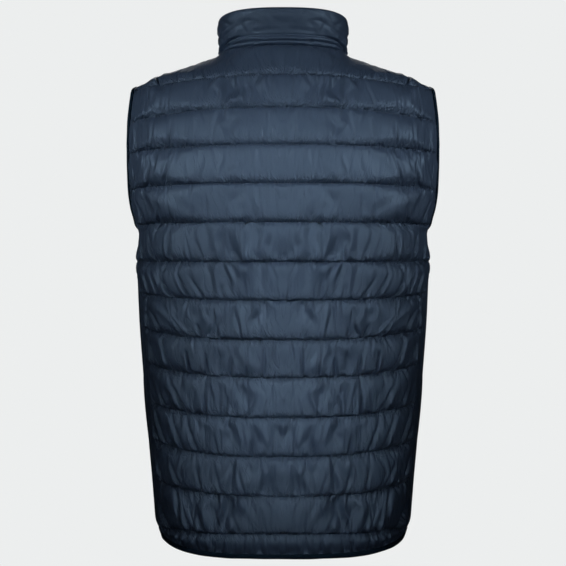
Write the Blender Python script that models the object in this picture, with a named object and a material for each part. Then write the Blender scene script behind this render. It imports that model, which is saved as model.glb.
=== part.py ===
"""Padded sleeveless work vest in its worn form: quilted back and fronts, plain sides, stand collar, zip.

Metres, +Z up. The front faces -Y and the wearer's left is +X. The origin is the middle of the neck opening,
at the height where the shoulder seams meet the neck.
"""

import math
from collections import namedtuple

import bmesh
import bpy
import numpy as np
from mathutils import Matrix, Vector

# Cloth and quilting
WALL = 0.003            # shell, flattened filling and inner cloth where they are sewn together
PUFF = 0.010            # rise of a full channel between two quilt lines
PUFF_SHARE = 0.22       # most rise of a narrow channel, as a share of its height
TOP_PUFF_SHARE = 0.55   # the channel over the shoulders is gathered flatter
CROWN_FULLNESS = 0.7    # under 1 gives a channel a broad crown with steep sides
EDGE_FADE = 0.028       # distance from a panel's side edge over which the channels flatten
EDGE_FULLNESS = 0.8
SEAM_PULL = 0.00032     # each panel stops this far short of a seam
PLAIN_WALL = 0.0025     # side panels, with no filling

# Grid of a panel
ROWS_PER_CHANNEL = 4
CURVE_POINTS = 240      # points of a plan outline before it is measured
FINE_STEPS = 96         # steps along a section, to measure lengths and directions
HALF_BACK_COLUMNS = [0, 8, 16, 24, 32, 40, 48, 58, 68, 77, 85, 91, 96]  # steps, closer together at the edge
FRONT_COLUMNS = [0, 5, 11, 19, 28, 38, 48, 58, 68, 77, 85, 91, 96]
SIDE_COLUMNS = [0, 24, 48, 72, 96]
NECK_STEPS = 48         # steps of the back's top edge that lie on the neck

# Neck and shoulders
NECK_HALF_WIDTH = 0.0855
NECK_BACK_DEPTH = 0.070
NECK_BACK_Z = 0.0066
NECK_POWER = 2.2
NECK_SIDE_Z = 0.0004
TIP_X = 0.2000          # where the shoulder seam meets the armhole binding
TIP_Z = -0.0418

# Armhole where the panels stop, seen from the side: an oval with a deeper front half
ARMHOLE_MIDDLE_Z = -0.1428
ARMHOLE_HALF_HEIGHT = 0.1055
ARMHOLE_BACK_REACH = 0.0720
ARMHOLE_FRONT_REACH = 0.0830
ARMHOLE_POWER = 2.2

# Front opening
FRONT_EDGE_X = 0.0100   # from the middle of the zip to the edge of a front

# Sections of the body from the hem up. A whole station is a quilt line; station 8.75 is the armhole's foot.
# Each gives the heights at the middle of the back and front and at the edges of the back and front panels,
# the half width and depths of its outline in plan, the roundness of that outline, and the y of the side
# seams (zero where the panels stop at the armhole).
Section = namedtuple(
    "Section",
    "station back_z back_edge_z front_z front_edge_z half_width back_depth front_depth power"
    " seam_back seam_front",
)
SECTIONS = [
    Section(0.00, -0.6568, -0.6410, -0.6255, -0.6320, 0.1685, 0.128, 0.128, 3.05, 0.060, -0.060),
    Section(1.00, -0.6295, -0.6335, -0.6060, -0.6215, 0.1742, 0.128, 0.129, 2.70, 0.060, -0.060),
    Section(2.00, -0.5816, -0.5683, -0.5640, -0.5683, 0.1800, 0.127, 0.130, 2.60, 0.060, -0.060),
    Section(3.00, -0.5308, -0.5151, -0.5130, -0.5151, 0.1848, 0.126, 0.132, 2.60, 0.060, -0.060),
    Section(4.00, -0.4804, -0.4663, -0.4640, -0.4663, 0.1888, 0.126, 0.134, 2.60, 0.060, -0.060),
    Section(5.00, -0.4288, -0.4142, -0.4140, -0.4142, 0.1929, 0.127, 0.137, 2.60, 0.060, -0.060),
    Section(6.00, -0.3803, -0.3685, -0.3690, -0.3685, 0.1962, 0.130, 0.140, 2.60, 0.058, -0.058),
    Section(7.00, -0.3298, -0.3224, -0.3240, -0.3224, 0.1985, 0.134, 0.143, 2.50, 0.050, -0.052),
    Section(8.00, -0.2804, -0.2810, -0.2800, -0.2810, 0.1998, 0.138, 0.146, 2.50, 0.032, -0.036),
    Section(8.75, -0.2422, -0.2443, -0.2425, -0.2443, 0.1936, 0.1405, 0.147, 2.45, 0.000, 0.000),
    Section(9.00, -0.2295, -0.2320, -0.2310, -0.2320, 0.2020, 0.141, 0.147, 2.40, 0.000, 0.000),
    Section(10.00, -0.1796, -0.1851, -0.1850, -0.1851, 0.2199, 0.141, 0.145, 2.40, 0.000, 0.000),
    Section(11.00, -0.1300, -0.1378, -0.1390, -0.1378, 0.2264, 0.135, 0.138, 2.40, 0.000, 0.000),
    Section(12.00, -0.0806, -0.0967, -0.0960, -0.0985, 0.2371, 0.120, 0.123, 2.15, 0.000, 0.000),
]
ARMHOLE_STATION = 8.75
TOP_STATION = 14.0

# The back's last quilt line, over the shoulder blades
Yoke = namedtuple("Yoke", "station back_z edge_z half_width depth power")
YOKE = Yoke(13.0, -0.0360, -0.0512, 0.2300, 0.100, 1.70)

# The front's sections beside the neck, each from a point on the neck edge to the armhole, bowed forwards
NeckSection = namedtuple("NeckSection", "station neck_x neck_y neck_z edge_x edge_z bow")
NECK_SECTIONS = [
    NeckSection(12.75, FRONT_EDGE_X, -0.0980, -0.0600, 0.2012, -0.0780, 0.026),
    NeckSection(13.00, 0.0480, -0.0845, -0.0480, 0.2018, -0.0680, 0.018),
    NeckSection(13.50, 0.0805, -0.0440, -0.0200, 0.2014, -0.0520, 0.007),
]
FRONT_NECK_STATION = 12.75
CORNER_STATIONS = (ARMHOLE_STATION, FRONT_NECK_STATION)

# Collar: rings from the neck seam up. A share of 0 is the neck seam and 1 the top edge. The roll above the
# back neck seam stands out by back_bulge there and dies away towards the front.
CollarRing = namedtuple("CollarRing", "share thickness bulge back_bulge")
COLLAR_RINGS = [
    CollarRing(0.00, 0.0024, 0.0000, 0.0000),
    CollarRing(0.10, 0.0050, 0.0012, 0.0042),
    CollarRing(0.20, 0.0060, 0.0016, 0.0036),
    CollarRing(0.30, 0.0056, 0.0014, 0.0000),
    CollarRing(0.52, 0.0070, 0.0022, 0.0010),
    CollarRing(0.78, 0.0066, 0.0020, 0.0008),
    CollarRing(0.95, 0.0050, 0.0008, 0.0000),
    CollarRing(1.00, 0.0030, 0.0000, 0.0000),
]
COLLAR_LIFT = 0.0005            # clearance over the neck edge of the panels
COLLAR_TOP_HALF_WIDTH = 0.0870
COLLAR_TOP_BACK_Y = 0.0720
COLLAR_TOP_FRONT_Y = -0.0790
COLLAR_TOP_SIDE_Z = 0.0420
COLLAR_TOP_TILT = 0.285         # rise of the top edge towards the back
COLLAR_TOP_EASE = 1.2           # how the rise eases off behind the sides, per metre
COLLAR_POWER = 2.65

# Edge tapes: sections as (distance from the panel's edge, height over the panel's outer face)
BINDING_SECTION = [(0.0006, 0.0006), (0.0030, 0.0014), (0.0052, 0.0002), (0.0058, -0.0016),
                   (0.0052, -0.0034), (0.0030, -0.0042), (0.0014, -0.0036)]
HEM_SECTION = [(0.0004, 0.0008), (0.0040, 0.0014), (0.0062, 0.0000), (0.0068, -0.0016),
               (0.0062, -0.0032), (0.0040, -0.0042), (0.0010, -0.0036)]
TAPE_REACH = FRONT_EDGE_X - 0.0002
TAPE_SECTION = [(0.0003, -0.0008), (TAPE_REACH, -0.0008), (TAPE_REACH, -0.0022), (0.0003, -0.0022)]
CHAIN_SECTION = [(-0.0028, -0.0004), (-0.0022, 0.0012), (0.0022, 0.0012), (0.0028, -0.0004)]

# Zip slider and pull tab
SLIDER_WIDTH = 0.0086
SLIDER_LENGTH = 0.0110
SLIDER_DEPTH = 0.0040
SLIDER_BEVEL = 0.0012
SLIDER_DROP = 0.0075    # from the collar's top edge to the slider's middle
SLIDER_FOOT = 0.0136    # from the collar's top edge to the top of the chain
SLIDER_CLEAR = -0.0004  # the slider's back over the cloth's outer face
BRIDGE_WIDTH = 0.0024
BRIDGE_LENGTH = 0.0086
BRIDGE_WINDOW_LENGTH = 0.0062
BRIDGE_WINDOW_DEPTH = 0.0032
BRIDGE_BAR = 0.0012
PULL_WIDTH = 0.0078
PULL_LENGTH = 0.0300
PULL_THICKNESS = 0.0015
PULL_EYE_WIDTH = 0.0046
PULL_EYE_LENGTH = 0.0056
PULL_BAR = 0.0015
PULL_CORNER = 0.0016

SHELL_NAVY = (0.030, 0.043, 0.066)
BINDING_NAVY = (0.012, 0.018, 0.028)
ZIP_NAVY = (0.016, 0.022, 0.033)
METAL_GREY = (0.10, 0.11, 0.12)


def clear_scene():
    for old in list(bpy.data.objects):
        bpy.data.objects.remove(old, do_unlink=True)


def material(name, colour, roughness, metallic=0.0):
    made = bpy.data.materials.new(name)
    made.use_nodes = True
    shader = made.node_tree.nodes["Principled BSDF"]
    shader.inputs["Base Color"].default_value = (*colour, 1.0)
    shader.inputs["Roughness"].default_value = roughness
    shader.inputs["Metallic"].default_value = metallic
    return made


def add_object(name, mesh_builder, finish, parent, smooth=True):
    """Turns a closed bmesh into a named object with one material."""
    bmesh.ops.recalc_face_normals(mesh_builder, faces=mesh_builder.faces[:])
    mesh = bpy.data.meshes.new(name)
    mesh_builder.to_mesh(mesh)
    mesh_builder.free()
    mesh.materials.append(finish)
    if smooth:
        mesh.shade_smooth()
    made = bpy.data.objects.new(name, mesh)
    made.parent = parent
    bpy.context.collection.objects.link(made)
    return made


def even_points(line, count):
    """The polyline again with count + 1 points at even distances along it."""
    steps = np.linalg.norm(np.diff(line, axis=0), axis=1)
    along = np.concatenate([[0.0], np.cumsum(steps)])
    wanted = np.linspace(0.0, along[-1], count + 1)
    return np.stack([np.interp(wanted, along, line[:, axis]) for axis in range(3)], axis=1)


def outline_arc(half_width, depth, power, start_x, end_y):
    """Plan outline from x = start_x at the middle to y = end_y at the side, as (x, y) pairs."""
    first = math.asin((start_x / half_width) ** (power / 2))
    last = math.acos((end_y / depth) ** (power / 2)) if end_y > 0 else math.pi / 2
    angle = np.linspace(first, last, CURVE_POINTS)
    x = half_width * np.sin(angle) ** (2 / power)
    y = depth * np.cos(angle) ** (2 / power)
    return x, y


def sloped(x, y, middle_z, edge_z):
    """Gives a plan outline heights that change evenly with depth from its middle to its edge."""
    share = (y[0] - y) / (y[0] - y[-1])
    return np.stack([x, y, middle_z + share * (edge_z - middle_z)], axis=1)


def armhole_edge(z, reach):
    """How far the armhole reaches from the side's middle at height z."""
    rise = min(abs(z - ARMHOLE_MIDDLE_Z) / ARMHOLE_HALF_HEIGHT, 1.0)
    return reach * (1 - rise ** ARMHOLE_POWER) ** (1 / ARMHOLE_POWER)


def edge_depths(section):
    """Where the back and front panels stop here, as distances behind and before the side's middle."""
    if section.seam_back:
        return section.seam_back, -section.seam_front
    back = armhole_edge(section.back_edge_z, ARMHOLE_BACK_REACH)
    front = armhole_edge(section.front_edge_z, ARMHOLE_FRONT_REACH)
    return back, front


def smooth_rows(stations, keys, wanted):
    """Rows at the wanted stations, on curves through the key rows that never overshoot them."""
    stations = np.asarray(stations)
    steps = np.diff(stations)[:, None, None]
    slopes = np.diff(keys, axis=0) / steps
    before, after = slopes[:-1], slopes[1:]
    total = before + after
    safe = np.where(np.abs(total) < 1e-12, 1.0, total)
    inner = np.where(before * after > 0, 2 * before * after / safe, 0.0)
    tangents = np.concatenate([slopes[:1], inner, slopes[-1:]])
    rows = []
    for station in wanted:
        low = min(int(np.searchsorted(stations, station, side="right")) - 1, len(stations) - 2)
        width = stations[low + 1] - stations[low]
        t = (station - stations[low]) / width
        rows.append(
            (1 + 2 * t) * (1 - t) ** 2 * keys[low]
            + t * (1 - t) ** 2 * width * tangents[low]
            + t * t * (3 - 2 * t) * keys[low + 1]
            + t * t * (t - 1) * width * tangents[low + 1]
        )
    return np.array(rows)


def unit(vectors):
    return vectors / np.maximum(np.linalg.norm(vectors, axis=-1, keepdims=True), 1e-12)


def grid_normals(grid, turn):
    across = np.gradient(grid, axis=1)
    up = np.gradient(grid, axis=0)
    return unit(turn * np.cross(across, up))


def half_back_keys():
    """Key rows of the left half of the back, from the middle to the edge."""
    keys = []
    for section in SECTIONS:
        x, y = outline_arc(section.half_width, section.back_depth, section.power, 0.0,
                           edge_depths(section)[0])
        keys.append(even_points(sloped(x, y, section.back_z, section.back_edge_z), FINE_STEPS))
    reach = armhole_edge(YOKE.edge_z, ARMHOLE_BACK_REACH)
    x, y = outline_arc(YOKE.half_width, YOKE.depth, YOKE.power, 0.0, reach)
    keys.append(even_points(sloped(x, y, YOKE.back_z, YOKE.edge_z), FINE_STEPS))
    keys.append(back_top_edge())
    stations = [section.station for section in SECTIONS] + [YOKE.station, TOP_STATION]
    return stations, np.array(keys)


def back_top_edge():
    """Half of the back neck edge, then the shoulder seam."""
    x, y = outline_arc(NECK_HALF_WIDTH, NECK_BACK_DEPTH, NECK_POWER, 0.0, 0.0)
    neck = even_points(sloped(x, y, NECK_BACK_Z, NECK_SIDE_Z), NECK_STEPS)
    return np.concatenate([neck, shoulder_seam(FINE_STEPS - NECK_STEPS)[1:]])


def shoulder_seam(count):
    share = np.linspace(0.0, 1.0, count + 1)[:, None]
    neck_end = np.array([NECK_HALF_WIDTH, 0.0, NECK_SIDE_Z])
    tip = np.array([TIP_X, 0.0, TIP_Z])
    return neck_end + share * (tip - neck_end)


def shoulder_normal():
    slope = math.atan2(NECK_SIDE_Z - TIP_Z, TIP_X - NECK_HALF_WIDTH)
    return np.array([math.sin(slope), 0.0, math.cos(slope)])


def front_keys():
    """Key rows of the left front, from the zip or neck edge to the side."""
    keys = []
    for section in SECTIONS:
        x, y = outline_arc(section.half_width, section.front_depth, section.power, FRONT_EDGE_X,
                           edge_depths(section)[1])
        keys.append(even_points(sloped(x, -y, section.front_z, section.front_edge_z), FINE_STEPS))
    for section in NECK_SECTIONS:
        keys.append(even_points(bowed_line(section), FINE_STEPS))
    keys.append(shoulder_seam(FINE_STEPS))
    stations = [section.station for section in SECTIONS + NECK_SECTIONS] + [TOP_STATION]
    return stations, np.array(keys)


def bowed_line(section):
    """From the neck edge to the armhole, bowed forwards."""
    share = np.linspace(0.0, 1.0, CURVE_POINTS)[:, None]
    start = np.array([section.neck_x, section.neck_y, section.neck_z])
    edge_y = -armhole_edge(section.edge_z, ARMHOLE_FRONT_REACH)
    end = np.array([section.edge_x, edge_y, section.edge_z])
    forward = np.array([0.0, -section.bow, 0.0])
    return start + share * (end - start) + 4 * share * (1 - share) * forward


def side_keys():
    """Key rows of the left side panel, from the back seam round to the front seam, hem to armhole."""
    keys = []
    stations = []
    for section in SECTIONS:
        if section.station > ARMHOLE_STATION:
            break
        behind, before = edge_depths(section)
        x_back, y_back = outline_arc(section.half_width, section.back_depth, section.power, 0.0, 0.0)
        x_front, y_front = outline_arc(section.half_width, section.front_depth, section.power, 0.0, 0.0)
        y = np.linspace(behind, -before, CURVE_POINTS)
        x = np.where(y > 0, np.interp(-y, -y_back, x_back), np.interp(y, -y_front, x_front))
        share = (y[0] - y) / (y[0] - y[-1])
        z = section.back_edge_z + share * (section.front_edge_z - section.back_edge_z)
        if section.station == ARMHOLE_STATION:
            z = np.array([armhole_foot(depth) for depth in y])
        keys.append(even_points(np.stack([x, y, z], axis=1), FINE_STEPS))
        stations.append(section.station)
    return stations, np.array(keys)


def armhole_foot(y):
    """Height of the armhole's lower edge at depth y."""
    reach = ARMHOLE_BACK_REACH if y > 0 else ARMHOLE_FRONT_REACH
    share = abs(y) / reach
    return ARMHOLE_MIDDLE_Z - ARMHOLE_HALF_HEIGHT * (1 - share ** ARMHOLE_POWER) ** (1 / ARMHOLE_POWER)


def panel_rows(first, last, per_channel):
    steps = round((last - first) * per_channel)
    return [first + step / per_channel for step in range(steps + 1)]


def channel_rise(grid, stations):
    """How far each point of a quilted panel stands out over its sewn-down form."""
    rise = np.zeros(grid.shape[:2])
    first_edge = np.cumsum(np.linalg.norm(np.diff(grid, axis=1), axis=2), axis=1)
    from_start = np.concatenate([np.zeros((len(grid), 1)), first_edge], axis=1)
    to_end = from_start[:, -1:] - from_start
    for row, station in enumerate(stations):
        part = station - math.floor(station)
        if part == 0:
            continue
        below = stations.index(math.floor(station))
        above = stations.index(math.floor(station) + 1)
        height = np.linalg.norm(grid[above] - grid[below], axis=1)
        crown = np.minimum(PUFF, PUFF_SHARE * height) * math.sin(math.pi * part) ** CROWN_FULLNESS
        if station > TOP_STATION - 1:
            crown = crown * TOP_PUFF_SHARE
        nearest = np.minimum(from_start[row], to_end[row])
        share = np.clip(nearest / EDGE_FADE, 0.0, 1.0)
        rise[row] = crown * np.sin(share * math.pi / 2) ** EDGE_FULLNESS
    return rise


def pull_in(grid, amount):
    """Draws a grid's outer points back from its seams."""
    pulled = grid.copy()
    pulled[:, 0] += amount * unit(grid[:, 1] - grid[:, 0])
    pulled[:, -1] += amount * unit(grid[:, -2] - grid[:, -1])
    pulled[0] += amount * unit(grid[1] - grid[0])
    pulled[-1] += amount * unit(grid[-2] - grid[-1])
    return pulled


def add_grid(builder, points):
    verts = [[builder.verts.new(point) for point in row] for row in points]
    for low, high in zip(verts, verts[1:]):
        for corner in range(len(low) - 1):
            builder.faces.new((low[corner], low[corner + 1], high[corner + 1], high[corner]))
    return verts


def add_rim(builder, outer, inner, inner_rows):
    """Closes the gap between an outer grid and an inner one that has only some of its rows."""
    for edge in (0, -1):
        for column in range(len(inner[0]) - 1):
            builder.faces.new((outer[edge][column], outer[edge][column + 1],
                               inner[edge][column + 1], inner[edge][column]))
        for row, (low, high) in enumerate(zip(inner_rows, inner_rows[1:])):
            run = [outer[step][edge] for step in range(low, high + 1)]
            builder.faces.new((*run, inner[row + 1][edge], inner[row][edge]))


def wall(name, outer_points, inner_points, inner_rows, finish, parent):
    """A closed wall between two grids of points, with only some rows on the inner side."""
    builder = bmesh.new()
    outer = add_grid(builder, outer_points)
    inner = add_grid(builder, inner_points[inner_rows])
    add_rim(builder, outer, inner, inner_rows)
    return add_object(name, builder, finish, parent)


def plain_rows(panel):
    """Every second row, and the rows where an edge turns a corner."""
    corners = {row for row, station in enumerate(panel.stations) if station in CORNER_STATIONS}
    return sorted(corners | set(range(0, len(panel.stations), 2)))


class Panel:
    """A panel's sewn-down form: a grid of points with directions out of the cloth."""

    def __init__(self, stations, points, normals):
        self.stations = stations
        self.points = points
        self.normals = normals

    def mirrored(self):
        flip = np.array([-1.0, 1.0, 1.0])
        return Panel(self.stations, self.points * flip, self.normals * flip)


def back_panel():
    stations, keys = half_back_keys()
    rows = panel_rows(0.0, TOP_STATION, ROWS_PER_CHANNEL)
    fine = smooth_rows(stations, keys, rows)
    flip = np.array([-1.0, 1.0, 1.0])
    fine = np.concatenate([fine[:, :0:-1] * flip, fine], axis=1)
    normals = grid_normals(fine, -1.0)
    on_seam = np.abs(fine[-1, :, 0]) >= NECK_HALF_WIDTH - 1e-9
    normals[-1, on_seam] = shoulder_normal() * np.where(fine[-1, on_seam, :1] < 0, flip, 1.0)
    right = [FINE_STEPS - step for step in HALF_BACK_COLUMNS[:0:-1]]
    columns = right + [FINE_STEPS + step for step in HALF_BACK_COLUMNS]
    return Panel(rows, fine[:, columns], normals[:, columns])


def left_front_panel():
    stations, keys = front_keys()
    rows = panel_rows(0.0, TOP_STATION, ROWS_PER_CHANNEL)
    fine = smooth_rows(stations, keys, rows)
    normals = grid_normals(fine, 1.0)
    normals[-1] = shoulder_normal()
    return Panel(rows, fine[:, FRONT_COLUMNS], normals[:, FRONT_COLUMNS])


def left_side_panel():
    stations, keys = side_keys()
    rows = panel_rows(0.0, ARMHOLE_STATION, ROWS_PER_CHANNEL)
    fine = smooth_rows(stations, keys, rows)
    normals = grid_normals(fine, -1.0)
    normals *= np.sign(normals[..., :1])
    return Panel(rows, fine[:, SIDE_COLUMNS], normals[:, SIDE_COLUMNS])


def build_quilted(name, panel, finish, parent):
    grid = pull_in(panel.points, SEAM_PULL)
    rise = channel_rise(grid, panel.stations)
    outer = grid + rise[..., None] * panel.normals
    inner = grid - WALL * panel.normals
    return wall(name, outer, inner, plain_rows(panel), finish, parent)


def build_plain(name, panel, finish, parent):
    grid = pull_in(panel.points, SEAM_PULL)
    return wall(name, grid, grid - PLAIN_WALL * panel.normals, plain_rows(panel), finish, parent)


def share_side_seams(back, side, front):
    """Gives panels that meet at a side seam the same line and the same direction out of the cloth there."""
    rows = len(side.points)
    share = np.array(SIDE_COLUMNS)[None, :, None] / FINE_STEPS
    off_back = back.points[:rows, -1] - side.points[:, 0]
    off_front = front.points[:rows, -1] - side.points[:, -1]
    side.points += (1 - share) * off_back[:, None] + share * off_front[:, None]
    flip = np.array([-1.0, 1.0, 1.0])
    back.normals[:rows, -1] = side.normals[:, 0]
    back.normals[:rows, 0] = side.normals[:, 0] * flip
    front.normals[:rows, -1] = side.normals[:, -1]


def smoothed_round(vectors, passes):
    """Directions along a closed loop, evened out between neighbours."""
    for _ in range(passes):
        vectors = unit(np.roll(vectors, 1, axis=0) + 2 * vectors + np.roll(vectors, -1, axis=0))
    return vectors


def band(name, line, normals, towards, section, closed, finish, parent):
    """A tape swept along an edge: section points lie so far from the edge and so high over the cloth."""
    builder = bmesh.new()
    rings = []
    for point, normal, reach in zip(line, normals, towards):
        rings.append([builder.verts.new(point + far * reach + high * normal) for far, high in section])
    pairs = list(zip(rings, rings[1:]))
    if closed:
        pairs.append((rings[-1], rings[0]))
    for ring, following in pairs:
        for corner in range(len(section)):
            after = (corner + 1) % len(section)
            builder.faces.new((ring[corner], ring[after], following[after], following[corner]))
    if not closed:
        builder.faces.new(rings[0])
        builder.faces.new(rings[-1])
    return add_object(name, builder, finish, parent)


def row_of(panel, station):
    return panel.stations.index(station)


def armhole_binding(name, back, front, side, mirror, finish, parent):
    """A folded tape round the left armhole, or the right one where mirror flips x."""
    foot = row_of(back, ARMHOLE_STATION)
    line = np.concatenate([back.points[foot:, -1], front.points[-2:foot - 1:-1, -1],
                           side.points[-1, -2:0:-1]])
    normals = np.concatenate([back.normals[foot:, -1], front.normals[-2:foot - 1:-1, -1],
                              side.normals[-1, -2:0:-1]])
    normals = smoothed_round(normals, 1)
    along = np.roll(line, -1, axis=0) - np.roll(line, 1, axis=0)
    towards = unit(np.cross(along, normals))
    inward = line.mean(axis=0) - line
    towards *= np.sign((towards * inward).sum(axis=1, keepdims=True))
    towards = smoothed_round(towards, 1)
    band(name, line * mirror, normals * mirror, towards * mirror, BINDING_SECTION, True, finish, parent)


def hem_binding(back, front, side, finish, parent):
    """A folded tape round the hem from one edge of the zip to the other."""
    flip = np.array([-1.0, 1.0, 1.0])
    half_back = back.points.shape[1] // 2
    half = [(front.points[0], front.normals[0]), (side.points[0, -2::-1], side.normals[0, -2::-1]),
            (back.points[0, -2:half_back - 1:-1], back.normals[0, -2:half_back - 1:-1])]
    line = np.concatenate([points for points, _ in half])
    normals = np.concatenate([directions for _, directions in half])
    line = np.concatenate([line, line[-2::-1] * flip])
    normals = np.concatenate([normals, normals[-2::-1] * flip])
    towards = unit(np.cross(np.gradient(line, axis=0), normals))
    towards *= -np.sign(towards[:, 2:])
    band("hem_binding", line, normals, towards, HEM_SECTION, False, finish, parent)


def collar_form(back, front):
    """The collar's middle surface: rings from the neck seam to the top edge, left front edge to right."""
    flip = np.array([-1.0, 1.0, 1.0])
    first = row_of(front, FRONT_NECK_STATION)
    middle = back.points.shape[1] // 2
    quarter = HALF_BACK_COLUMNS.index(NECK_STEPS)
    half = np.concatenate([front.points[first:, 0], back.points[-1, middle + quarter - 1:middle - 1:-1]])
    bottom = np.concatenate([half, half[-2::-1] * flip])
    x_front, y_front = outline_arc(COLLAR_TOP_HALF_WIDTH, -COLLAR_TOP_FRONT_Y, COLLAR_POWER,
                                   FRONT_EDGE_X, 0.0)
    x_back, y_back = outline_arc(COLLAR_TOP_HALF_WIDTH, COLLAR_TOP_BACK_Y, COLLAR_POWER, 0.0, 0.0)
    x = np.concatenate([x_front, x_back[-2::-1]])
    y = np.concatenate([-y_front, y_back[-2::-1]])
    z = COLLAR_TOP_SIDE_Z + COLLAR_TOP_TILT * y - COLLAR_TOP_EASE * np.maximum(y, 0.0) ** 2
    top_line = np.stack([x, y, z], axis=1)
    top_half = points_at_shares(top_line, length_shares(half))
    top = np.concatenate([top_half, top_half[-2::-1] * flip])
    lift = COLLAR_LIFT * unit(top - bottom)
    grid = np.array([bottom + lift + ring.share * (top - bottom - lift) for ring in COLLAR_RINGS])
    normals = grid_normals(grid, 1.0)
    outward = grid[:, :, :2] * normals[:, :, :2]
    normals *= np.sign(outward.sum(axis=2, keepdims=True))
    normals[:, [0, -1], 0] = 0.0
    normals = unit(normals)
    grid[:, 0, 0] += SEAM_PULL
    grid[:, -1, 0] -= SEAM_PULL
    return Panel([ring.share for ring in COLLAR_RINGS], grid, normals)


def length_shares(line):
    along = np.concatenate([[0.0], np.cumsum(np.linalg.norm(np.diff(line, axis=0), axis=1))])
    return along / along[-1]


def points_at_shares(line, shares):
    along = length_shares(line)
    return np.stack([np.interp(shares, along, line[:, axis]) for axis in range(3)], axis=1)


def build_collar(form, finish, parent):
    thickness = np.array([ring.thickness for ring in COLLAR_RINGS])[:, None]
    bulge = np.array([ring.bulge for ring in COLLAR_RINGS])[:, None]
    back_bulge = np.array([ring.back_bulge for ring in COLLAR_RINGS])[:, None]
    behind = np.clip(form.points[..., 1] / NECK_BACK_DEPTH, 0.0, 1.0)
    high = thickness / 2 + bulge + back_bulge * behind
    outer = form.points + high[..., None] * form.normals
    inner = form.points - (thickness / 2)[..., None] * form.normals
    wall("collar", outer, inner, list(range(len(outer))), finish, parent)


def zip_line(front, collar):
    """The left edge of the zip opening from hem to collar top, with directions out of the cloth."""
    last = row_of(front, FRONT_NECK_STATION)
    line = np.concatenate([front.points[:last + 1:2, 0], collar.points[1::2, 0]])
    normals = np.concatenate([front.normals[:last + 1:2, 0], collar.normals[1::2, 0]])
    normals[:, 0] = 0.0
    return line, unit(normals)


def build_zip(front, collar, tape_finish, metal, parent):
    line, normals = zip_line(front, collar)
    sideways = np.tile([-1.0, 0.0, 0.0], (len(line), 1))
    flip = np.array([-1.0, 1.0, 1.0])
    band("zip_tape_left", line, normals, sideways, TAPE_SECTION, False, tape_finish, parent)
    band("zip_tape_right", line * flip, normals, -sideways, TAPE_SECTION, False, tape_finish, parent)
    middle = line * np.array([0.0, 1.0, 1.0])
    up = unit(middle[-1] - middle[-2])
    middle[-1] -= SLIDER_FOOT * up
    band("zip_chain", middle, normals, sideways, CHAIN_SECTION, False, tape_finish, parent)
    top = line[-1] * np.array([0.0, 1.0, 1.0])
    place_slider(top, up, normals[-1], metal, parent)


def box(size, centre):
    builder = bmesh.new()
    bmesh.ops.create_cube(builder, size=1.0)
    bmesh.ops.scale(builder, vec=Vector(size), verts=builder.verts[:])
    bmesh.ops.translate(builder, vec=Vector(centre), verts=builder.verts[:])
    return builder


def cut(target, tool, operation):
    """Joins or cuts target with a guide that isn't a piece of the vest."""
    tool.hide_render = True
    tool.display_type = "WIRE"
    step = target.modifiers.new(operation.lower(), "BOOLEAN")
    step.operation = operation
    step.object = tool


def place_slider(top, up, out, metal, parent):
    """The slider at the top of the zip and the pull tab that hangs from its bridge."""
    lean = -math.asin(up[1])
    centre = top - SLIDER_DROP * up + (SLIDER_DEPTH / 2 + SLIDER_CLEAR) * out
    body = box((SLIDER_WIDTH, SLIDER_DEPTH, SLIDER_LENGTH), (0, 0, 0))
    bmesh.ops.bevel(body, geom=body.edges[:], offset=SLIDER_BEVEL, segments=2, profile=0.5, affect="EDGES")
    slider = add_object("zip_slider", body, metal, parent, smooth=False)
    bridge_height = BRIDGE_WINDOW_DEPTH + BRIDGE_BAR
    sunk = SLIDER_BEVEL
    face = -SLIDER_DEPTH / 2
    bar = box((BRIDGE_WIDTH, bridge_height + sunk, BRIDGE_LENGTH), (0, face + (sunk - bridge_height) / 2, 0))
    bridge = add_object("bridge_guide", bar, metal, slider, smooth=False)
    gap = box((2 * BRIDGE_WIDTH, BRIDGE_WINDOW_DEPTH, BRIDGE_WINDOW_LENGTH),
              (0, face - BRIDGE_WINDOW_DEPTH / 2, 0))
    window = add_object("window_guide", gap, metal, slider, smooth=False)
    cut(bridge, window, "DIFFERENCE")
    cut(slider, bridge, "UNION")
    slider.location = centre
    slider.rotation_euler = (lean, 0.0, 0.0)
    pivot = Vector((0.0, face - BRIDGE_WINDOW_DEPTH / 2, 0.0))
    hinge = Matrix.Rotation(lean, 3, "X") @ pivot + Vector(centre)
    add_pull(hinge, lean, metal, parent)


def add_pull(hinge, lean, metal, parent):
    """A flat tab with an eye; the bar over the eye lies on the hinge axis."""
    middle = PULL_BAR / 2 - PULL_LENGTH / 2
    plate = box((PULL_WIDTH, PULL_THICKNESS, PULL_LENGTH), (0.0, 0.0, middle))
    corners = [edge for edge in plate.edges
               if abs(edge.verts[0].co.y - edge.verts[1].co.y) > PULL_THICKNESS / 2]
    bmesh.ops.bevel(plate, geom=corners, offset=PULL_CORNER, segments=3, profile=0.5, affect="EDGES")
    pull = add_object("zip_pull", plate, metal, parent, smooth=False)
    hole = box((PULL_EYE_WIDTH, 3 * PULL_THICKNESS, PULL_EYE_LENGTH),
               (0.0, 0.0, -PULL_BAR / 2 - PULL_EYE_LENGTH / 2))
    eye = add_object("eye_guide", hole, metal, pull, smooth=False)
    cut(pull, eye, "DIFFERENCE")
    pull.location = hinge
    pull.rotation_euler = (lean, 0.0, 0.0)


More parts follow.
